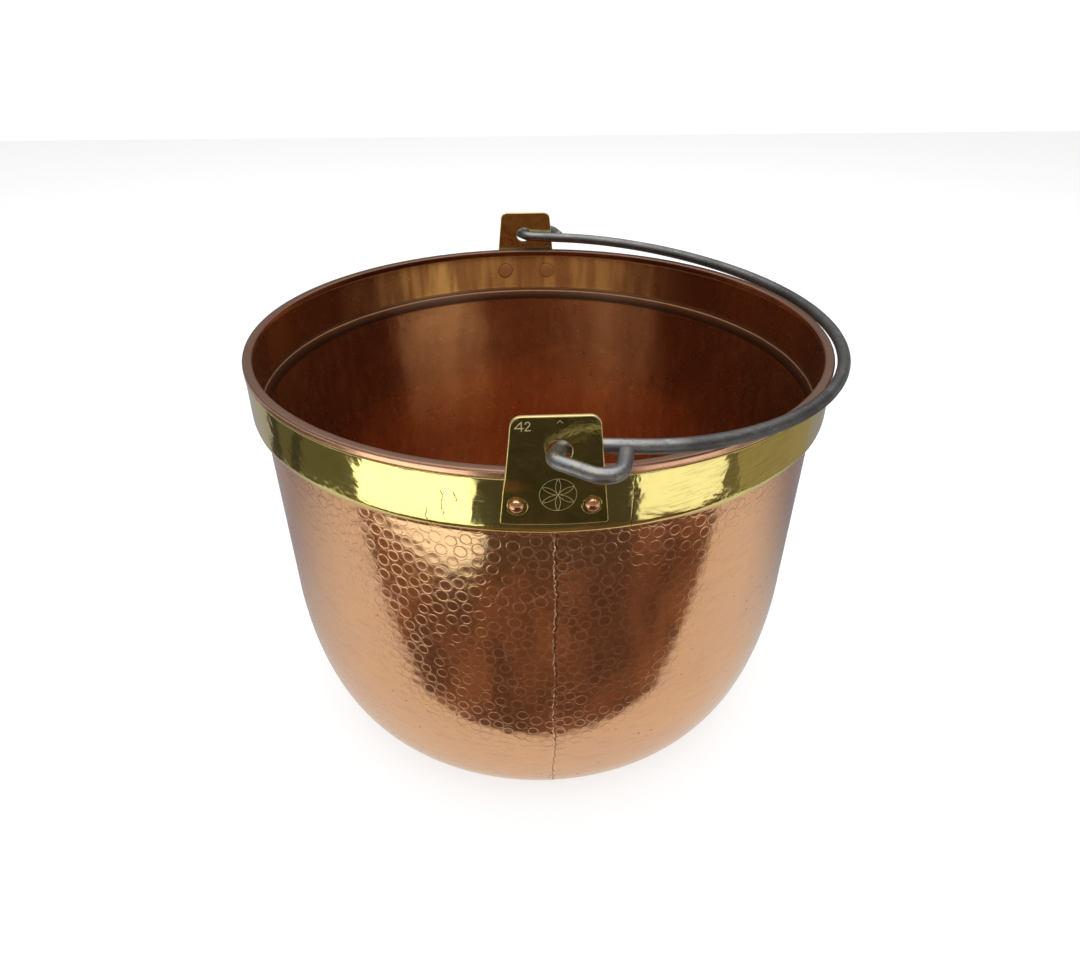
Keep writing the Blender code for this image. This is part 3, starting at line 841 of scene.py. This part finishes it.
def hem_copper():
    bench, finish = new_finish("hem copper")
    place = bench.own_place()
    _, y, level = bench.axes(place)
    cloud = bench.noise(place, 40.0, 3.0, 0.6)
    nicks = bench.noise(bench.stretched(place, (1.0, 1.0, 3.0)), 320.0, 3.0, 0.7)
    top = level.eased(HEIGHT - 0.0011, HEIGHT - 0.0003)
    colour = bench.coats(
        (0.80, 0.45, 0.28),
        (top, (0.25, 0.14, 0.095)),
        # painted shade: the hem darkens towards the far side of the kettle
        (y.eased(0.04, 0.17) * 0.7, (0.12, 0.06, 0.04)),
        (cloud.eased(0.5, 0.8) * 0.5, (0.22, 0.11, 0.07)),
        (nicks.eased(0.6, 0.8) * 0.4, (0.60, 0.36, 0.24)),
    )
    bump = bench.bump(nicks * 0.00002 + cloud * 0.00004, 0.8)
    return finish(Base_Color=colour, Roughness=0.20 + top * 0.16 + nicks * 0.1, Normal=bump)


dull = lining_copper()
hem_finish = hem_copper()
print("lining and hem finishes ready")

# %% Lining
LINING_COLUMNS = 480
LINING_ROW = 0.0022
LINING_BACK = 0.00105
LINING_MIDDLE = 0.006


def build_lining():
    """Inside of the copper, with a plain back in the middle of the sheet."""
    collar = np.array([(COLLAR_RADIUS, COLLAR_TOP), (COLLAR_RADIUS, SHOULDER_TOP + 0.0002)])
    full = evenly(np.concatenate([evenly(collar, 0.0025), outside_line()[1:]]), LINING_ROW)
    inner = inward(full, SHEET)
    floor_line = [(radius, SHEET) for radius in (*np.arange(0.152, 0.02, -0.006), LINING_MIDDLE)]
    behind = thinned(inward(full, LINING_BACK), 8, 2)
    back = [*behind, (0.12, LINING_BACK), (LINING_MIDDLE, LINING_BACK)]
    section = np.array([*floor_line[::-1], *inner[::-1], *back])
    section[:, 1] = np.minimum(section[:, 1], COLLAR_TOP)
    rows = turned(section, LINING_COLUMNS)
    lining = grid_object("lining_copper", rows, capped=True)
    return worked(lining, worn, Dent_Size=0.03, Dent_Depth=0.0011, Upright=0.35, Seed=3, Finish=dull)


lining = build_lining()
print("lining has", len(lining.data.polygons), "faces")

# %% Hem
def build_hem():
    """The rolled edge: flat on top, with round lips, and a smaller one where it meets the lining."""
    inner, outer = RIM_RADIUS - HEM_WIDTH, RIM_RADIUS
    lip, small = 0.0014, 0.0008
    section = [
        arc((outer - lip, HEIGHT - lip), (lip, lip), 90.0, 0.0, 7),
        arc((outer - lip, COLLAR_TOP + lip), (lip, lip), 0.0, -90.0, 7),
        arc((inner + small, COLLAR_TOP + small), (small, small), -90.0, -180.0, 5),
        arc((inner + lip, HEIGHT - lip), (lip, lip), 180.0, 90.0, 7),
        np.array([(inner + HEM_WIDTH * 0.4, HEIGHT), (inner + HEM_WIDTH * 0.6, HEIGHT)]),
    ]
    hem = grid_object("hem_copper", turned(np.concatenate(section), 720))
    return worked(hem, worn, Dent_Size=0.02, Dent_Depth=0.00022, Upright=1.0, Seed=8, Finish=hem_finish)


hem = build_hem()
print("hem has", len(hem.data.polygons), "faces")

# %% [markdown]
# ## Brass band
# The band is a strip of brass, soldered into a hoop and pressed onto the collar. Its lower edge is curled
# in over the shoulder. It was polished along its length, so it has long fine scratches, slight dents,
# hairline cracks beside the front ear, and one upright joint to the right of that ear. The strip is a
# turned section with rounded edges.

# %% Band finish
JOINT_X = 0.0388
CRACKS = [(-0.0735, 0.2595, 0.2725), (-0.0640, 0.2680, 0.2850), (-0.0565, 0.2780, 0.2850)]


def band_brass():
    """Brass with one upright joint, and hairline cracks given as (across, from this height, to this one)."""
    bench, finish = new_finish("polished brass")
    place = bench.own_place()
    x, y, z = bench.axes(place)
    cloud = bench.noise(place, 18.0, 4.0, 0.6, 0.5)
    brushed = bench.noise(bench.stretched(place, (1.0, 1.0, 9.0)), 60.0, 4.0, 0.7)
    fine = bench.noise(bench.stretched(place, (0.6, 0.6, 5.0)), 700.0, 2.0, 0.6)
    crossing = bench.noise(bench.stretched(place, (4.0, 1.0, 1.4)), 240.0, 3.0, 0.7)
    front = 1 - y.eased(-0.16, -0.12)
    wander = bench.noise(place, 230.0, 3.0, 0.6) - 0.5
    joint = (x - JOINT_X + wander * z.eased(0.274, 0.284) * 0.005).near(0.0, 0.00045) * front
    cracks = 0.0
    for across, low, high in CRACKS:
        crack = (x - across + wander * 0.006).near(0.0, 0.0004) * front
        cracks = crack * z.eased(low, low + 0.001) * (1 - z.eased(high - 0.001, high)) + cracks
    diagonal = bench.joined(x, y, (z - x * 0.12) * 14)
    streaky_patches = bench.noise(diagonal, 55.0, 3.0, 0.7) * x.eased(0.02, 0.07) * front
    # Painted shade: the band is darker along its curled lower edge and in the strip just under the hem.
    painted_edge_shade = (1 - z.eased(0.2605, 0.268)) * 0.7 + z.eased(0.2925, 0.2947) * 0.4
    colour = bench.coats(
        (0.90, 0.77, 0.28),
        (cloud.eased(0.3, 0.7), (0.86, 0.71, 0.25)),
        (brushed.eased(0.55, 0.8) * 0.35, (0.74, 0.60, 0.22)),
        (streaky_patches.eased(0.48, 0.62) * 0.4, (0.52, 0.44, 0.14)),
        # painted shade along the band's edges
        (painted_edge_shade * 0.6, (0.42, 0.36, 0.12)),
        ((joint + cracks).least(1.0) * 0.85, (0.10, 0.07, 0.03)),
    )
    roughness = 0.055 + cloud * 0.05 + brushed.eased(0.45, 0.8) * 0.08 + crossing.eased(0.6, 0.8) * 0.04
    height = brushed * 0.000012 + fine * 0.0000022 + crossing * 0.000005 - (joint + cracks) * 0.00008
    height = height + cloud * 0.0009 + streaky_patches * 0.000014
    return finish(Base_Color=colour, Roughness=roughness, Normal=bench.bump(height))


brass = band_brass()
print("brass has", len(brass.node_tree.nodes), "nodes")

# %% Band
def build_band():
    """The hoop: upright on the collar, with its lower edge curled in over the shoulder."""
    inner = BEND + GAP
    outer = inner + BAND_SHEET
    centre = (COLLAR_RADIUS - BEND, SHOULDER_TOP)
    top = COLLAR_TOP - GAP
    lip = 0.0005
    rim = centre[0] + outer
    curl = math.degrees(lip / outer)
    wrap = 30.0
    turned_in = math.radians(wrap)
    middle = (inner + outer) / 2
    nose = (centre[0] + middle * math.cos(turned_in), centre[1] - middle * math.sin(turned_in))
    nose_radius = BAND_SHEET / 2 - 0.0001
    section = [
        arc((rim - lip, top - lip), (lip, lip), 90.0, 0.0, 5)[:-1],
        evenly(np.array([(rim, top - lip), (rim, SHOULDER_TOP)]), 0.0016),
        arc(centre, (outer, outer), 0.0, curl - wrap, 8)[1:],
        arc(nose, (nose_radius, nose_radius), -wrap - 20, -wrap - 160, 6),
        arc(centre, (inner, inner), -wrap + 4, 0.0, 5),
        np.array([(centre[0] + inner, top)]),
    ]
    band = grid_object("band_brass", turned(np.concatenate(section), 720))
    return worked(band, worn, Dent_Size=0.035, Dent_Depth=0.0006, Upright=0.9, Seed=5, Finish=brass)


band = build_band()
print("band has", len(band.data.polygons), "faces")

# %% [markdown]
# ## Brass ears
# An ear is a trapezium of thick brass plate. Above the rim it stands flat, and below the rim it is beaten
# to the round of the band, where two rivets hold it. The number stamped in the upper corner of the front
# ear is the kettle's size in centimetres, so it stays. A small compass rosette is scribed below the hole.
# A Boolean would leave long thin faces that shade badly when the plate bends, so the plate is one ring of
# points instead: each row goes once round between the hole and the edge.

# %% Ear sizes
EAR_SHEET = 0.0025
EAR_ABOVE_RIM = 0.0336
EAR_BELOW_RIM = 0.0315
EAR_TOP_WIDTH = 0.0452
EAR_BOTTOM_WIDTH = 0.058
EAR_TOP_ROUND = 0.006
EAR_FOOT_ROUND = 0.0014
EAR_BEND_LENGTH = 0.012
EAR_INNER_RADIUS = RIM_RADIUS + GAP
EAR_MIDDLE = EAR_INNER_RADIUS + EAR_SHEET / 2
ROD = 0.0084
HOLE_PLAY = 0.0046
HOLE_RADIUS = (ROD + HOLE_PLAY) / 2
HINGE_ABOVE_RIM = 0.0133


def ear_centre(side):
    """Middle of an ear across the kettle. Side is -1 at the front and 1 at the back."""
    return HINGE_X + side * HOLE_OFFSET


def ear_edge():
    """Edge of an ear as (across, height above the rim), with round corners, in steps of a millimetre."""
    corners = [
        (-EAR_BOTTOM_WIDTH / 2, -EAR_BELOW_RIM, EAR_FOOT_ROUND),
        (EAR_BOTTOM_WIDTH / 2, -EAR_BELOW_RIM, EAR_FOOT_ROUND),
        (EAR_TOP_WIDTH / 2, EAR_ABOVE_RIM, EAR_TOP_ROUND),
        (-EAR_TOP_WIDTH / 2, EAR_ABOVE_RIM, EAR_TOP_ROUND),
    ]
    points = []
    for i, (across, height, rounding) in enumerate(corners):
        here = Vector((across, height))
        to_last = (Vector(corners[i - 1][:2]) - here).normalized()
        to_next = (Vector(corners[(i + 1) % 4][:2]) - here).normalized()
        half = to_last.angle(to_next) / 2
        centre = here + (to_last + to_next).normalized() * rounding / math.sin(half)
        start = here + to_last * rounding / math.tan(half) - centre
        sweep = math.pi - 2 * half
        steps = 12 if rounding == EAR_TOP_ROUND else 6
        for k in range(steps + 1):
            points.append(tuple(centre + Matrix.Rotation(sweep * k / steps, 2) @ start))
    closed = np.array(points + points[:1])
    dense = [evenly(closed[i : i + 2], 0.001)[:-1] for i in range(len(closed) - 1)]
    return np.concatenate(dense)


print("ear edge has", len(ear_edge()), "points")

# %% Ear finish
FOUR = [(-0.0212, 0.0258), (-0.0212, 0.0308), (-0.0246, 0.0273), (-0.0202, 0.0273)]
TWO = [(-0.0193, 0.0297), (-0.0187, 0.0306), (-0.0176, 0.0307), (-0.0169, 0.0299), (-0.0172, 0.0288),
       (-0.0194, 0.0260), (-0.0167, 0.0260)]
CARET = [(-0.0032, 0.0299), (-0.002, 0.0312), (-0.0008, 0.0299)]
ROSETTE_MIDDLE = (-0.0024, -0.0124)
ROSETTE_RADIUS = 0.0098
RIVET_RING = 0.0054
# The front ear gets a darker brass and the back ear a lighter one: painted shade and painted light on copies
# of one brass.
EAR_SHADED_AND_LIT_COLOURS = {-1: ((0.66, 0.52, 0.16), (0.42, 0.35, 0.11)), 1: ((0.72, 0.66, 0.34), (0.58, 0.52, 0.26))}


def stroke(bench, flat, start, end):
    """Distance in the plate's plane from one straight stroke."""
    run = (end[0] - start[0], end[1] - start[1], 0.0)
    from_start = bench.vector("SUBTRACT", flat, (*start, 0.0))
    share = bench.vector("DOT_PRODUCT", from_start, run) / (run[0] ** 2 + run[1] ** 2)
    share = share.most(0.0).least(1.0)
    return bench.vector("DISTANCE", from_start, bench.vector("MULTIPLY", run, bench.joined(share, share)))


def nearest_stroke(bench, flat, *lines):
    """Distance from the nearest stroke of lines given as (across, height above the rim)."""
    nearest = None
    for points in lines:
        for start, end in zip(points, points[1:]):
            away = stroke(bench, flat, start, end)
            nearest = away if nearest is None else nearest.least(away)
    return nearest


def rosette(bench, flat, centre, radius):
    """Distance from the ring of a compass rosette and the arcs of its six petals, far outside the ring."""
    from_middle = bench.vector("DISTANCE", flat, (*centre, 0.0))
    nearest = abs(from_middle - radius)
    for k in range(6):
        angle = math.radians(60 * k + 30)
        spot = (centre[0] + radius * math.cos(angle), centre[1] + radius * math.sin(angle), 0.0)
        nearest = nearest.least(abs(bench.vector("DISTANCE", flat, spot) - radius))
    return nearest + from_middle.eased(radius + 0.0001, radius + 0.0004)


def ear_brass(name, side):
    bench, finish = new_finish(name)
    place = bench.own_place()
    x, _, z = bench.axes(place)
    flat = bench.joined(x, z - HEIGHT)
    cloud = bench.noise(place, 45.0, 4.0, 0.6, 0.5)
    grain = bench.noise(place, 600.0, 3.0, 0.6)
    scratches = bench.noise(bench.stretched(place, (1.0, 1.0, 0.2)), 500.0, 3.0, 0.7)
    worn_edge_highlight = bench.attribute("edge")
    rings = 9.0
    for across in (-1, 1):
        spot = (ear_centre(side) + across * RIVET_SPREAD, RIVET_HEIGHT - HEIGHT, 0.0)
        rings = abs(bench.vector("DISTANCE", flat, spot) - RIVET_RING).least(rings)
    groove_and_shade = (1 - rings.eased(0.0001, 0.0005)) * bench.attribute("front")
    cut_lines = 0.0
    if side < 0:
        number = 0.8 - nearest_stroke(bench, flat, FOUR, TWO).eased(0.00012, 0.0004) * 0.8
        mark = 0.6 - rosette(bench, flat, ROSETTE_MIDDLE, ROSETTE_RADIUS).eased(0.00006, 0.00026) * 0.6
        caret = 0.5 - nearest_stroke(bench, flat, CARET).eased(0.0002, 0.0004) * 0.5
        cut_lines = number.most(mark).most(caret) * bench.attribute("front")
    colour = bench.coats(
        bench.blend(cloud.eased(0.35, 0.65), *EAR_SHADED_AND_LIT_COLOURS[side]),
        (grain.eased(0.55, 0.8) * 0.4, (0.28, 0.23, 0.08)),
        # the lighter rounded edge of the plate is partly wear and partly a painted highlight
        (worn_edge_highlight * 0.7, (0.80, 0.62, 0.28)),
        # painted shade in the grooves round the rivets
        (groove_and_shade * 0.7, (0.14, 0.10, 0.04)),
        (cut_lines, (0.80, 0.68, 0.36)),
    )
    roughness = 0.08 + cloud * 0.09 + scratches.eased(0.5, 0.8) * 0.08 + worn_edge_highlight * 0.2 + cut_lines * 0.4
    height = cloud * 0.0008 + grain * 0.000006 + scratches * 0.000006 - groove_and_shade * 0.00015
    metal = 1 - cut_lines * 0.7 - worn_edge_highlight * 0.2
    return finish(Base_Color=colour, Roughness=roughness, Metallic=metal, Normal=bench.bump(height, 0.9))


front_brass = ear_brass("front ear brass", -1)
back_brass = ear_brass("back ear brass", 1)
print("front ear finish has", len(front_brass.node_tree.nodes), "nodes")

# %% Ears
def ear_section():
    """Rows of the plate: where each lies between the hole and the edge, and how deep under the face."""
    lip = 0.0007
    quarter = np.radians(np.linspace(0.0, 90.0, 6))
    out, down = lip * np.sin(quarter), lip * (1 - np.cos(quarter))
    rows = [(share, 0.0, 0.0) for share in np.linspace(0.0, 1.0, 44)]
    rows += [(1.0, o, d) for o, d in zip(out[1:], down[1:])]
    rows += [(1.0, o, EAR_SHEET - d) for o, d in zip(out[::-1], down[::-1])]
    rows += [(share, 0.0, EAR_SHEET) for share in np.linspace(1.0, 0.0, 20)[1:]]
    rows += [(0.0, -o, EAR_SHEET - d) for o, d in zip(out[1:], down[1:])]
    rows += [(0.0, -o, d) for o, d in zip(out[::-1][:-1], down[::-1][:-1])]
    return lip, rows


def ear_face(across, height, side):
    """Inner face of the plate: flat above the rim, and as round as the band below it."""
    x = ear_centre(side) + across
    bend = np.clip(-height / EAR_BEND_LENGTH, 0.0, 1.0)
    bend = bend * bend * (3 - 2 * bend)
    away = EAR_INNER_RADIUS * (1 - bend) + np.sqrt(EAR_INNER_RADIUS**2 - x * x) * bend
    return np.stack([x, side * away, HEIGHT + height], axis=-1)


def build_ear(name, side, finish):
    """Rays run from the hole to the edge, and each row lies at one share of every ray."""
    hole = np.array([HINGE_X - ear_centre(side), HINGE_ABOVE_RIM])
    ray = ear_edge() - hole
    length = np.hypot(*ray.T)
    ray /= length[:, None]
    lip, section = ear_section()
    share, out, down = (np.array(values)[:, None] for values in zip(*section))
    reach = (HOLE_RADIUS + lip) * (1 - share) + (length - lip) * share + out
    across = hole[0] + ray[:, 0] * reach
    height = hole[1] + ray[:, 1] * reach
    step = 1e-5
    base = ear_face(across, height, side)
    along = ear_face(across + step, height, side) - base
    up = ear_face(across, height + step, side) - base
    normal = np.cross(along, up)
    normal /= np.linalg.norm(normal, axis=-1, keepdims=True)
    normal *= np.sign(normal[..., 1:2]) * side
    ear = grid_object(name, base + normal * (EAR_SHEET - down)[..., None])
    if side > 0:
        ear.data.flip_normals()
    store(ear, "edge", np.broadcast_to(out != 0, reach.shape))
    store(ear, "front", np.broadcast_to(down < lip, reach.shape))
    ear.data.materials.append(finish)
    return ear


ear_front = build_ear("ear_front_brass", -1, front_brass)
ear_back = build_ear("ear_back_brass", 1, back_brass)
print("each ear has", len(ear_front.data.polygons), "faces")

# %% [markdown]
# ## Rivets
# Four copper rivets hold the ears. Each has a small dome outside and a thin disc inside, beaten flush with
# the collar. They are one shape set in four places, so a tree sets the turned rivet on four points, each
# with the direction in which its rivet points out.

# %% Rivet finish and shape
DOME_RADIUS, DOME_HEIGHT = 0.004, 0.0026
SHANK_RADIUS = 0.0026
DISC_RADIUS, DISC_SHEET = 0.0062, 0.0009
RIVET_SEAT = EAR_INNER_RADIUS + EAR_SHEET + GAP


def rivet_copper():
    bench, finish = new_finish("rivet copper")
    place = bench.own_place()
    x, y, _ = bench.axes(place)
    cloud = bench.noise(place, 150.0, 3.0, 0.6)
    nicks = bench.noise(place, 900.0, 3.0, 0.7)
    inside = 1 - bench.vector("LENGTH", bench.joined(x, y)).eased(COLLAR_RADIUS - 0.001, COLLAR_RADIUS)
    colour = bench.coats(
        (0.82, 0.44, 0.25),
        (cloud.eased(0.35, 0.7), (0.62, 0.29, 0.15)),
        (nicks.eased(0.6, 0.8) * 0.4, (0.30, 0.12, 0.07)),
        (inside * 0.85, (0.60, 0.27, 0.09)),
    )
    bump = bench.bump(cloud * 0.00008 + nicks * 0.00001, 0.7)
    roughness = 0.12 + cloud * 0.1 + inside * 0.12
    return finish(Base_Color=colour, Roughness=roughness, Metallic=1 - inside * 0.6, Normal=bump)


def rivet_shape():
    """A rivet whose dome sits on z = 0, with its shank and disc below."""
    disc_face = COLLAR_RADIUS - SHEET - 0.00025 - RIVET_SEAT
    disc_back = disc_face + DISC_SHEET
    lip = 0.0003
    dome = arc((0.0, 0.0), (DOME_RADIUS, DOME_HEIGHT), 86.0, 0.0, 10)
    shank = [(DOME_RADIUS, -0.0002), (SHANK_RADIUS, -0.0003), (SHANK_RADIUS, disc_back)]
    disc = arc((DISC_RADIUS - lip, disc_face + lip), (lip, lip), 0.0, -90.0, 4)
    section = [*dome, *shank, (DISC_RADIUS, disc_back), *disc, (0.0002, disc_face)]
    return grid_object("rivet", turned(section, 40), capped=True)


one_rivet = rivet_shape()
rivet_finish = rivet_copper()
print("one rivet has", len(one_rivet.data.polygons), "faces")

# %% Geometry tree that sets the rivets
def rivet_tree():
    bench, given = geometry_tree("set_rivets", Rivet=bpy.types.Object)
    shape = bench.add("GeometryNodeObjectInfo", None, {"Object": given["Rivet"]}, "Geometry")
    way = bench.add("GeometryNodeInputNamedAttribute", {"data_type": "FLOAT_VECTOR"}, {"Name": "outward"})
    turn = bench.add("FunctionNodeAlignRotationToVector", {"axis": "Z"}, {"Vector": way})
    sockets = {"Points": given["Geometry"], "Instance": shape, "Rotation": turn}
    return close_tree(bench, bench.add("GeometryNodeInstanceOnPoints", None, sockets), given["Finish"])


def build_rivets():
    ways = []
    for side in (-1, 1):
        for hand in (-1, 1):
            across = ear_centre(side) + hand * RIVET_SPREAD
            angle = math.atan2(side * math.sqrt(EAR_INNER_RADIUS**2 - across**2), across)
            ways.append((math.cos(angle), math.sin(angle), 0.0))
    obj = mesh_object("rivets", [(x * RIVET_SEAT, y * RIVET_SEAT, RIVET_HEIGHT) for x, y, _ in ways])
    layer = obj.data.attributes.new("outward", "FLOAT_VECTOR", "POINT")
    layer.data.foreach_set("vector", np.array(ways, np.float32).ravel())
    worked(obj, rivet_tree(), Rivet=one_rivet, Finish=rivet_finish)
    obj.data.shade_smooth()
    return obj


rivets = build_rivets()
bpy.data.objects.remove(one_rivet)
print("rivets have", len(rivets.data.polygons), "faces")

# %% [markdown]
# ## Steel bail
# The bail is one round steel rod. A smith bends each end into a hook that passes through its ear from
# inside and comes back towards the arch. The rod's line is walked here as a smith would bend it: straights
# and bends, in the plane of the bail, from the hook to the top of the arch, then mirrored. A tree sweeps a
# circle along that line, since a rod is a circle that follows a path.

# %% Walk the line of the rod
ROD_RADIUS = ROD / 2
EYE_CLEARANCE = 0.001
CROSSING_DEG = 32.0
LEG_DEG = 34.0
CLOSING_DEG = -76.0
OUTER_BEND = 0.006
CORNER_BEND = 0.011
ARCH_RADIUS = RIM_RADIUS + ROD_RADIUS + 0.0013
ARCH_JOIN_DEG = 40.0
HANDLE = 0.037
INSIDE_OFFSET = EAR_SHEET / 2 + EYE_CLEARANCE + ROD_RADIUS
STRAIGHT_OUTSIDE = EAR_SHEET / 2 + 0.00345
STRAIGHT_INSIDE = EAR_SHEET / 2 + 0.00175
STRAIGHT_BEFORE_ARCH = 0.0045
BAIL_DROP = math.radians(3.4)


def walk(place, heading, moves):
    """Follow straights and bends from a place. Headings are degrees, and 90 points out of the kettle."""
    points = [Vector(place)]
    for kind, amount, radius in moves:
        if kind == "straight":
            way = Vector((math.cos(math.radians(heading)), math.sin(math.radians(heading))))
            points += [points[-1] + way * amount * k / 6 for k in range(1, 7)]
            continue
        facing = math.radians(heading + math.copysign(90.0, amount))
        centre = points[-1] + Vector((math.cos(facing), math.sin(facing))) * radius
        arm = points[-1] - centre
        steps = math.ceil(abs(amount) / 4.0)
        for k in range(1, steps + 1):
            points.append(centre + Matrix.Rotation(math.radians(amount) * k / steps, 2) @ arm)
        heading += amount
    return points


def ear_reach():
    """Distance from the hinge to the farthest corner of the ear above it."""
    edge = ear_edge()
    above = edge[edge[:, 1] > HINGE_ABOVE_RIM]
    return float(np.hypot(np.abs(above[:, 0]) + HOLE_OFFSET, above[:, 1] - HINGE_ABOVE_RIM).max())


def hook_line():
    """The hook from its end to inside the ear, as (reach, outward) from the hinge in the bail's plane."""
    crossing = 90.0 + CROSSING_DEG

    def moves(leg, closing):
        return [("straight", STRAIGHT_OUTSIDE, 0.0), ("bend", LEG_DEG - crossing, OUTER_BEND),
                ("straight", leg, 0.0), ("bend", CLOSING_DEG - LEG_DEG, CORNER_BEND),
                ("straight", closing, 0.0)]

    slope, leg_angle = math.radians(-CLOSING_DEG), math.radians(LEG_DEG)
    needed = ear_reach() + (ROD_RADIUS + GAP) / math.sin(slope)
    turned_in = walk((0.0, 0.0), crossing, moves(0.0, 0.0))[-1]
    gain = math.cos(leg_angle) + math.sin(leg_angle) / math.tan(slope)
    leg = (needed - turned_in.x - turned_in.y / math.tan(slope)) / gain
    turned_in = walk((0.0, 0.0), crossing, moves(leg, 0.0))[-1]
    stop = ROD_RADIUS * (1.0 + math.cos(slope)) + GAP - INSIDE_OFFSET
    outer = walk((0.0, 0.0), crossing, moves(leg, (turned_in.y - stop) / math.sin(slope)))
    drop = STRAIGHT_INSIDE * math.cos(math.radians(CROSSING_DEG))
    turn = 90.0 - CROSSING_DEG
    radius = (INSIDE_OFFSET - drop) / (1.0 - math.cos(math.radians(turn)))
    inner = walk((0.0, 0.0), crossing - 180.0, [("straight", STRAIGHT_INSIDE, 0.0), ("bend", turn, radius)])
    return outer[::-1] + inner[1:]


def rod_line():
    """The whole line of the rod in its own plane, as (reach, y) from the hinge."""
    points = [Vector((point.x, -EAR_MIDDLE - point.y)) for point in hook_line()]
    join = math.radians(ARCH_JOIN_DEG)
    start = Vector((points[0].x + STRAIGHT_BEFORE_ARCH, -EAR_MIDDLE + INSIDE_OFFSET))
    end = Vector((-HINGE_X + ARCH_RADIUS * math.sin(join), -ARCH_RADIUS * math.cos(join)))
    way = Vector((math.cos(join), math.sin(join)))
    handles = start, start + Vector((HANDLE, 0.0)), end - way * HANDLE, end
    for k in range(40):
        t = k / 40
        weights = ((1 - t) ** 3, 3 * t * (1 - t) ** 2, 3 * t * t * (1 - t), t**3)
        points.append(sum((weight * point for weight, point in zip(weights, handles)), Vector((0.0, 0.0))))
    for angle in np.linspace(join, math.pi / 2, 56):
        points.append(Vector((-HINGE_X + ARCH_RADIUS * math.sin(angle), -ARCH_RADIUS * math.cos(angle))))
    line = [(point.x, point.y) for point in points]
    return np.array(line + [(x, -y) for x, y in line[-2::-1]])


print("rod line has", len(rod_line()), "points")

# %% Steel finish and the rod
def bare_steel():
    bench, finish = new_finish("bare steel")
    place = bench.own_place()
    x, y, _ = bench.axes(place)
    cloud = bench.noise(place, 30.0, 4.0, 0.6, 0.5)
    grain = bench.noise(place, 500.0, 3.0, 0.65)
    streaks = bench.noise(bench.stretched(place, (1.0, 3.0, 6.0)), 90.0, 4.0, 0.7)
    tint = bench.noise(place, 55.0, 2.0, 0.5, 0.8).eased(0.45, 0.6)
    far_side = y.eased(-0.1, 0.1)
    handled = (1 - x.eased(0.02, 0.075 + far_side * 0.085)) * (1 - far_side * 0.5)
    burnt = handled * (1 - y.eased(-0.21, -0.19))
    colour = bench.coats(
        (0.165, 0.160, 0.150),
        (cloud.eased(0.3, 0.7), (0.095, 0.092, 0.088)),
        (handled, (0.27, 0.27, 0.265)),
        (burnt * tint * 0.45, (0.14, 0.15, 0.22)),
        (burnt * streaks.eased(0.42, 0.55) * 0.5, (0.30, 0.25, 0.16)),
        (streaks.eased(0.55, 0.8) * 0.6, (0.46, 0.46, 0.45)),
        (grain.eased(0.55, 0.72) * 0.7, (0.06, 0.055, 0.05)),
    )
    roughness = 0.36 - handled * 0.06 + cloud * 0.12 + grain * 0.12
    height = grain * 0.00008 + streaks * 0.00006 + cloud * 0.00015
    return finish(Base_Color=colour, Roughness=roughness, Normal=bench.bump(height, 0.8))


def rod_tree():
    bench, given = geometry_tree("swept_rod", Radius=float, Forging=float, Sides=int)
    path = bench.add("GeometryNodeMeshToCurve", None, {"Mesh": given["Geometry"]})
    path = bench.add("GeometryNodeResampleCurve", {"mode": "LENGTH"}, {"Curve": path, "Length": 0.0012})
    sockets = {"Resolution": given["Sides"], "Radius": given["Radius"]}
    ring = bench.add("GeometryNodeCurvePrimitiveCircle", {"mode": "RADIUS"}, sockets)
    length = bench.add("GeometryNodeSplineParameter", out="Length")
    total = bench.add("GeometryNodeSplineLength", out="Length")
    from_end = length.least(total - length)
    scale = 1 - (1 - from_end.eased(0.0, 0.0016)) * 0.22
    sockets = {"Curve": path, "Profile Curve": ring, "Fill Caps": True, "Scale": scale}
    rod = bench.add("GeometryNodeCurveToMesh", None, sockets)
    uneven = bench.noise(bench.add("GeometryNodeInputPosition"), 60.0, 2.0) - 0.5
    offset = bench.off_surface(uneven * given["Forging"])
    rod = bench.add("GeometryNodeSetPosition", None, {"Geometry": rod, "Offset": offset})
    return close_tree(bench, rod, given["Finish"])


def build_bail():
    """The rod along its line, tilted down from the hinge as far as the bail rests below level."""
    lift = HEIGHT + HINGE_ABOVE_RIM
    points = [(HINGE_X + x * math.cos(BAIL_DROP), y, lift - x * math.sin(BAIL_DROP)) for x, y in rod_line()]
    obj = mesh_object("bail_steel", points, edges=[(i, i + 1) for i in range(len(points) - 1)])
    worked(obj, rod_tree(), Radius=ROD_RADIUS, Forging=0.00018, Sides=28, Finish=bare_steel())
    obj.data.shade_smooth()
    return obj


bail = build_bail()
print("bail has", len(bail.data.polygons), "faces")

# %% [markdown]
# ## Hand the pieces to the frame
# Each piece rides on the body of the part that it stands for, so the bail swings alone and the rest stays
# with the kettle.

# %% Ride and replace
OWNERS = [
    (wall, "kettle", "beaten_copper", ["kettle_shell"]),
    (foot, "kettle", "beaten_copper", []),
    (lining, "kettle", "beaten_copper", []),
    (hem, "kettle", "beaten_copper", []),
    (band, "kettle", "band_brass", ["rim_band"]),
    (ear_front, "kettle", "ear_brass", ["ear_front"]),
    (ear_back, "kettle", "ear_brass", ["ear_back"]),
    (rivets, "kettle", "rivet_copper",
     ["rivet_front_left", "rivet_front_right", "rivet_back_left", "rivet_back_right"]),
    (bail, "bail", "bail_steel", ["bail"]),
]
for piece, body, slot, nodes in OWNERS:
    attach(piece, body)
    if nodes:
        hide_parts(*nodes)
